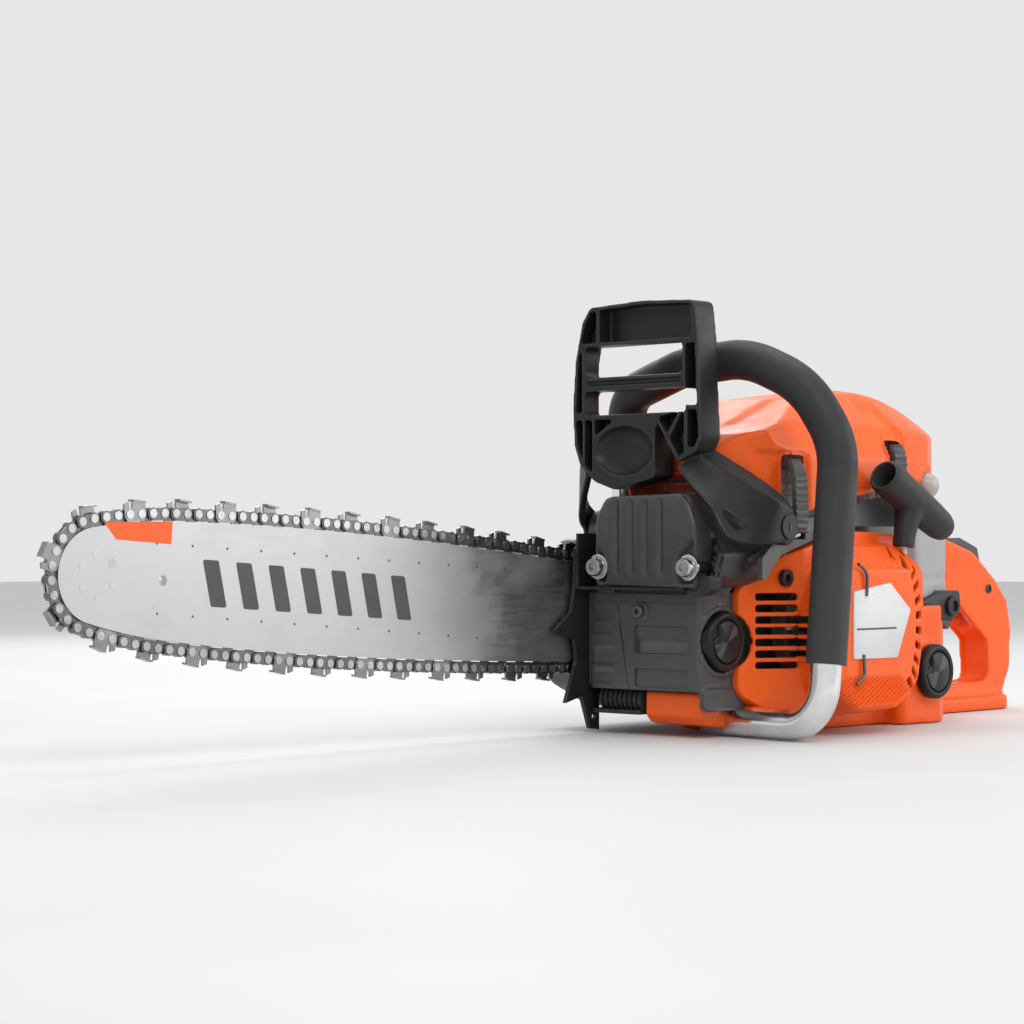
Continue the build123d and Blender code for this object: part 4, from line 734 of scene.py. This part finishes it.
def tank_casting():
    """Oil tank side of the crankcase, with its panels, lip and screw."""
    lip_side = rounded([(-85, 19), (-85, 32), (4, 28), (6, 22), (2, 17), (-76, 17)], 3)
    casting_block = joined(rounded_box("tank_casting", (-86.4, -40), (-52, 44), (29.6, 94), 5),
                           prism("lip", "y", lip_side, -54, -49))
    moulded(casting_block, 1.1, 3)
    cutters = [prism("panel", "x", rounded(p, 2, 3), -120, -85) for p in PANEL_POCKETS]
    cutters += [prism("inner", "x", rounded(rect((-40, 2), (54, 63)), 2, 3), -120, -83.8),
                prism("seam", "x", [(19.4, 88), (18.8, 88), (8.8, 28), (9.4, 28)], -120, -85.6),
                prism("ledge", "x", rounded(rect((-49, 44.5), (86, 88)), 1), -120, -85.4)]
    cut(casting_block, *cutters)

    def form(place, normal):
        x, y, z = place.T
        side = step(-normal[:, 1], 0.5, 0.9)
        away = np.hypot(x + 66, z - 62)
        return side * (1.6 * band(away, 19.8, 23, 0.7) - 1.2 * (1 - step(away, 18.5, 19.5)))

    relief(casting_block, form)
    finished(casting_block, GREY, "saw_body", (), 30)
    screw = turned("case_screw", (-85.6, -1.5, 81), (-1, 0, 0),
                   [(0, 6), (1.2, 6), (1.6, 5.2), (1.8, 4.4), (5, 4.2), (5.6, 3.6), (5.6, 0)], 24)
    cut(screw, turned("socket", (-94, -1.5, 81), (1, 0, 0), [(0, 2.2), (5, 2.2), (5, 0)], 6))
    finished(screw, GREY, "saw_body")


def filler_cap(centre, body, radius):
    """Cap with a C-shaped rim, and its fold-out flap, which fills the rim's middle."""
    x, face, z = centre
    cap = turned(body + "_moulding", (x, face, z), (0, -1, 0),
                 [(0, radius - 0.6), (1, radius), (6, radius), (7.4, radius - 1.4), (7.4, radius - 4),
                  (5.4, radius - 4.6),
                  (5.4, 0)], 64)
    ear = [(x - radius + 1.5, z - 1.6), (x - 8, z - 1.6), (x - 8, z + 4), (x - 12, z + 2.4)]
    joined(cap, prism("ear", "y", rounded(ear, 0.6), face - 7.2, face))
    finished(moulded(cap, 0.6, 2), BLACK, body, [body])
    flap = turned(body + "_flap", (x, face - 5.6, z), (0, -1, 0),
                  [(0, radius - 5.6), (1.2, radius - 5.6), (1.8, radius - 6.6), (1.8, 0)], 48)
    cut(flap, block("half", (x - 30, x - 7), (face - 20, face + 5), (z - 1.5, z + 30)))
    finished(bevelled(flap, 0.3), BLACK, body + "_tab", [body + "_tab"])


muffler(hand_guard())
tank_casting()
filler_cap((-66, -50.6, 62), "oil_cap", 19)
filler_cap((146, -68.6, 36), "fuel_cap", 19)


# ---------------------------------------------------------------------------
# Cylinder cover, its clips and the grey parts under it
# ---------------------------------------------------------------------------

def cylinder_cover():
    """Cover over the cylinder, with its crease, clip recesses and raised top."""
    cover = skin_of("cylinder_cover", 1.4, 9)

    def slope(place):
        x, y, z = place.T
        place[:, 2] -= 34 * np.clip((x - 95) / 110, 0, 1) ** 2 * np.clip((z - 150) / 70, 0, 1)
        return place

    warp(cover, slope)

    def form(place, normal):
        x, y, z = place.T
        side = step(-normal[:, 1], 0.25, 0.7) * step(-y, 40, 55)
        height = -2.6 * side * band(x, -42 + (z - 150) * -0.15, -6, 3) * band(z, 100, 185, 3)
        crease = (x - 50) * 0.04
        height -= 2.4 * side * (1 - step(z, 163 + crease, 166 + crease)) * band(x, 30, 150, 8)
        height -= 3.2 * side * band(x, 84, 110, 2) * step(z, 150, 156)
        rim = np.hypot(x - 148, z - 168)
        height += 1.3 * side * band(rim, 11, 14, 1)
        top = step(normal[:, 2], 0.5, 0.9)
        height += 1.6 * top * band(y, -26, 34, 6) * band(x, -30, 150, 10)
        return height

    relief(cover, form)
    finished(cover, ORANGE, "saw_body", ["cylinder_cover"], 60)


def ribbed_clip(name, path, half, node):
    """Bowed strip with grip ribs across it."""
    line = spline_points(path, 90)
    rings = []
    for i, p in enumerate(line):
        rib = 0.9 * (0.5 + 0.5 * math.cos(2 * math.pi * i / 90 * (line[0] - line[-1]).length / 4.4))
        edge = half - 0.8 * (abs(i - 44.5) / 44.5) ** 6 * 3
        rings.append([(p.x - edge, p.y - rib, p.z), (p.x + edge, p.y - rib, p.z), (p.x + edge, p.y + 3, p.z),
                      (p.x - edge, p.y + 3, p.z)])
    clip = bevelled(from_rings(name, rings), 0.5, 60)
    finished(clip, CHARCOAL, node, [node], 50)


def air_box():
    """Pale air box behind the hub, with its bracket and screw."""
    box = skin_of("air_box", 1.3, 6)

    def form(place, normal):
        x, y, z = place.T
        side = step(-normal[:, 1], 0.5, 0.9)
        crease = 158 + 10 * np.sin((z - 86) / 17)
        return side * (1.3 * (1 - step(x, crease, crease + 4)) - 0.8 * band(z, 98, 104, 2))

    relief(box, form)
    finished(box, PANEL_GREY, "saw_body", ["air_box"], 50)
    bracket_side = rounded([(138, 84), (166, 92), (186, 92), (188, 80), (176, 70), (158, 72)], 3)
    bracket = prism("shield_bracket", "y", bracket_side, -66, -52)
    finished(bevelled(bracket, 1.2), BLACK, "saw_body")
    screw = turned("shield_screw", (176, -64, 81), (0, -1, 0),
                   [(0, 7.4), (4, 7.4), (5, 6.4), (5, 4), (3, 3.6), (3, 0)], 32)
    finished(screw, BLACK_STEEL, "saw_body")


def side_parts():
    """Gusset, front foot and vibration mount below the cover."""
    gusset = web("tank_gusset", [(-62, -54, 92), (-58, -56, 98), (-44, -64, 108), (-26, -74, 119)],
                 [(-84, -48, 92), (-78, -50, 101), (-62, -62, 112), (-44, -76, 124)], 3)
    finished(moulded(gusset, 1.0, 2), GREY, "saw_body")
    foot_side = [(-80, 29), (-80, 13), (-75, 8), (-55, 5.5), (-47, 9), (-10, 10), (-10, 26)]
    foot = moulded(prism("front_foot", "y", rounded(foot_side, 2.5), -47, 0), 1.1, 3)
    finished(foot, ORANGE, "saw_body")
    ribs = []
    for i in range(9):
        ribs += [(i * 4.2, 5.4), (i * 4.2 + 0.8, 8.2), (i * 4.2 + 2.2, 8.2), (i * 4.2 + 3, 5.4)]
    bellows = turned("vibration_mount", (-74, 3, 23), (0, 1, 0), ribs)
    finished(bevelled(bellows, 0.3, 30), RUBBER, "saw_body", ["av_mounts"], 50)
    plate = rounded_box("mount_plate", (-82, -62), (4, 47), (13, 16), 4)
    finished(bevelled(plate, 0.6), BLACK_STEEL, "saw_body")


# ---------------------------------------------------------------------------
# Starter housing and pull handle
# ---------------------------------------------------------------------------

def starter_housing():
    """Starter housing with its ridges, fins, wires and blank label."""
    housing = skin_of("starter_housing", 1.1, 3)

    def draw_in(place):
        x, y, z = place.T
        place[:, 0] -= 0.5 * np.clip(x - 66, 0, 60) * (y < -80.5) * (z > 20)
        return place

    warp(housing, draw_in)

    def form(place, normal):
        x, y, z = place.T
        out = step(-y, 81, 85) * step(-normal[:, 1], 0.1, 0.4)
        along = x * 0.75 + z
        ridges = np.clip(np.cos(2 * np.pi * (x - 0.35 * z) / 6.4) * 1.6, -1, 1)
        height = 0.9 * ridges * out * band(z, 111, 123, 1.5) * band(x, 4, 58, 2)
        fins = np.clip(np.cos(2 * np.pi * (x - 1.7 * z) / 5.6) * 1.5, -1, 1)
        height += 1.1 * (fins - 0.4) * out * band(z, 12, 37, 1.2) * band(along, 8, 78, 3)
        step_line = (0.9 * out * band(z, 38, 108, 1.5) * band(x, -8, 64, 2)
                     * band(x - (z - 70) * 0.25, -12, 62, 2))
        return height + step_line * step(-y, 104, 106)

    relief(housing, form)
    finished(housing, ORANGE, "saw_body", ["starter_housing"], 45)
    for name, points in (("upper_wire", [(3, -110.6, 112), (9, -111, 108.5), (12.3, -111, 103),
                                         (12.2, -110.4, 91)]),
                         ("lower_wire", [(9.1, -110.4, 53), (9.2, -111, 44), (8.4, -111, 39),
                                         (2, -110, 34)])):
        wire = sweep(name, spline_points(points, 24), 1.15, 12)
        finished(wire, BRAZED, "saw_body")
    label_edge = rounded([(-1, 50.3), (-1, 94), (39.5, 99.4), (62.5, 81.4), (47.5, 50)], 2)
    label = prism("label_face", "y", label_edge, -110.1, -107)
    finished(bevelled(label, 0.3), LABEL, "saw_body", ["label_plate"])
    line = block("label_line", (2, 46), (-110.2, -109.9), (69, 70.2))
    finished(line, MARKING, "saw_body")


def pull_handle():
    """Pull handle, and the rope between it and the housing."""
    start, end = Vector((52.4, -95.5, 171.2)), Vector((126, -95.5, 133.6))
    path = [start.lerp(end, t) for t in (0, 0.03, 0.12, 0.3, 0.45, 0.6, 0.75, 0.88, 0.95, 0.985, 1)]
    grip = sweep("pull_grip", path, [10.8, 12.0, 12.4, 12.0, 11.8, 11.6, 11.2, 10.6, 9.0, 6.6, 3], 28)
    neck = [Vector((75, -95.5, 123)), Vector((76, -95.5, 130)), Vector((79, -95.5, 140)),
            Vector((84, -95.5, 153))]
    joined(grip, sweep("neck", neck, [7.6, 7.4, 8.4, 11], 28))
    moulded(grip, 0.9, 9)
    way = (end - start).normalized()
    hollow = turned("hollow", start - way * 3, way, [(0, 10.4), (4, 9.0), (26, 7.6), (28, 4)])
    cut(grip, hollow)
    finished(bevelled(grip, 0.4, 50), RUBBER, "starter_handle", ["starter_handle"], 45)
    rope = sweep("pull_rope", [Vector((75.5, -95.5, 90 + k * 4)) for k in range(12)], 1.8, 14)
    rope.data.materials.append(ROPE)
    shaded(rope, 60)
    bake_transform(rope)


# ---------------------------------------------------------------------------
# Rear handle
# ---------------------------------------------------------------------------

def rear_handle():
    """Rear handle with its inset sides, and a plug."""
    handle = skin_of("rear_handle", 1.6, 6)

    def form(place, normal):
        x, y, z = place.T
        side = step(np.abs(normal[:, 1]), 0.6, 0.9) * (1 - step(np.abs(y), 17, 20)) * step(x, 236, 242)
        inner = np.abs(y) < 9
        facing = step(np.abs(normal[:, 0]) + np.abs(normal[:, 2]), 0.7, 0.95)
        hole = band(x, 236, 312, 3) * band(z, 16, 88, 3)
        return -0.8 * side * band(z, 15, 110, 3) + -1.6 * inner * facing * hole

    relief(handle, form)
    finished(handle, ORANGE, "saw_body", ["rear_handle"], 60)
    mark = turned("handle_plug", (304, -13.2, 91), (0, -1, 0),
                  [(0, 3.6), (0.8, 3.6), (1.2, 2.6), (0.4, 2), (0.4, 0)], 24)
    finished(mark, BLACK, "saw_body")


# ---------------------------------------------------------------------------
# Bar markings and chain
# ---------------------------------------------------------------------------

BAR_TILT = math.radians(4)
CRANK_X = 28
CRANK_Z = 71.5


def on_bar(points):
    """X and Z of points given along the bar from the crank and above its middle line."""
    along, up = math.cos(BAR_TILT), math.sin(BAR_TILT)
    return [(CRANK_X - u * along + v * up, CRANK_Z + u * up + v * along) for u, v in points]


def bar_mark(name, points, material, rise=0.06):
    """Thin flat mark on the near side of the bar."""
    finished(prism(name, "y", on_bar(points), 52.7 - rise, 53), material, "bar")


def bar_markings():
    """Patch, plain slanted bars, nose rivets and spot welds."""
    bar_mark("bar_patch", [(512, 30.2), (463.5, 34), (463.5, 21), (503, 21)], ORANGE)
    for i in range(7):
        u = 440 - i * 25
        stripe = rounded([(u, 14), (u - 12, 14), (u - 20, -13), (u - 8, -13)], 1.5, 3)
        bar_mark(f"bar_stripe_{i}", stripe, MARKING)
    for i in range(6):
        turn = math.pi / 3 * i + 0.4
        centre = (514 + 12 * math.cos(turn), 12 * math.sin(turn))
        bar_mark(f"nose_rivet_{i}", circle(centre, 2.7, 24), STAINLESS, 0.15)
    for i in range(12):
        u = 474 - i * 26
        bar_mark(f"weld_upper_{i}", circle((u, 20.8 + i * 0.3), 0.8, 12), MARKING, 0.04)
        bar_mark(f"weld_lower_{i}", circle((u - 3, -19.0 - i * 0.22), 0.8, 12), MARKING,
                 0.04)


def islands(mesh):
    """Faces of each separate solid in a mesh."""
    neighbours = [[] for _ in mesh.vertices]
    for face in mesh.polygons:
        for v in face.vertices:
            neighbours[v].append(face.index)
    seen = np.zeros(len(mesh.polygons), bool)
    for start in range(len(mesh.polygons)):
        if seen[start]:
            continue
        seen[start] = True
        group, queue = [], [start]
        while queue:
            face = queue.pop()
            group.append(face)
            for v in mesh.polygons[face].vertices:
                for other in neighbours[v]:
                    if not seen[other]:
                        seen[other] = True
                        queue.append(other)
        yield group


def chain_finish():
    """Rivets of the chain are bright, its straps dark, and one strap is brass."""
    straps = NODES["chain_straps_and_rivets"]
    mesh = straps.data
    for material in (BRIGHT, BRASS):
        mesh.materials.append(material)
    mark = Vector(on_bar([(312, 40)])[0])          # where the brass strap stands on the top run
    best, brass = 1e9, None
    for group in islands(mesh):
        corners = np.array([(straps.matrix_world @ mesh.vertices[v].co)[:]
                            for f in group for v in mesh.polygons[f].vertices]) / MM
        size = corners.max(0) - corners.min(0)
        if max(size[0], size[2]) < 5.6:
            for face in group:
                mesh.polygons[face].material_index = 1
        else:
            away = math.hypot(corners[:, 0].mean() - mark.x, corners[:, 2].mean() - mark.y)
            if away < best and corners[:, 1].mean() < 55:
                best, brass = away, group
    for face in brass:
        mesh.polygons[face].material_index = 2


def clutch_cover():
    """Clutch cover with a raised middle and ribs."""
    cover = skin_of("clutch_cover", 1.3, 6)

    def form(place, normal):
        x, y, z = place.T
        out = step(normal[:, 1], 0.6, 0.9) * step(y, 76, 80)
        away = np.hypot(x - 28, z - 71.5)
        height = 2.0 * out * (1 - step(away, 31, 34)) - 1.2 * out * band(away, 38, 41, 1)
        ribs = np.clip(np.cos(2 * np.pi * (x + 0.4 * z) / 8) * 1.6, -1, 1)
        return height + 0.9 * out * ribs * band(z, 22, 46, 2) * band(x, -60, -12, 3)

    relief(cover, form)
    finished(cover, GREY, "saw_body", ["clutch_cover"], 50)


clutch_cover()
cylinder_cover()
ribbed_clip("front_clip", [(-25, -81, 180), (-24, -84, 170), (-22, -84, 152), (-19, -82, 134)], 6.4,
            "cover_clip_front")
ribbed_clip("rear_clip", [(97, -75.5, 193), (98.5, -77, 182), (101, -75, 166)], 6.6, "cover_clip_rear")
air_box()
side_parts()
starter_housing()
pull_handle()
rear_handle()
bar_markings()
chain_finish()
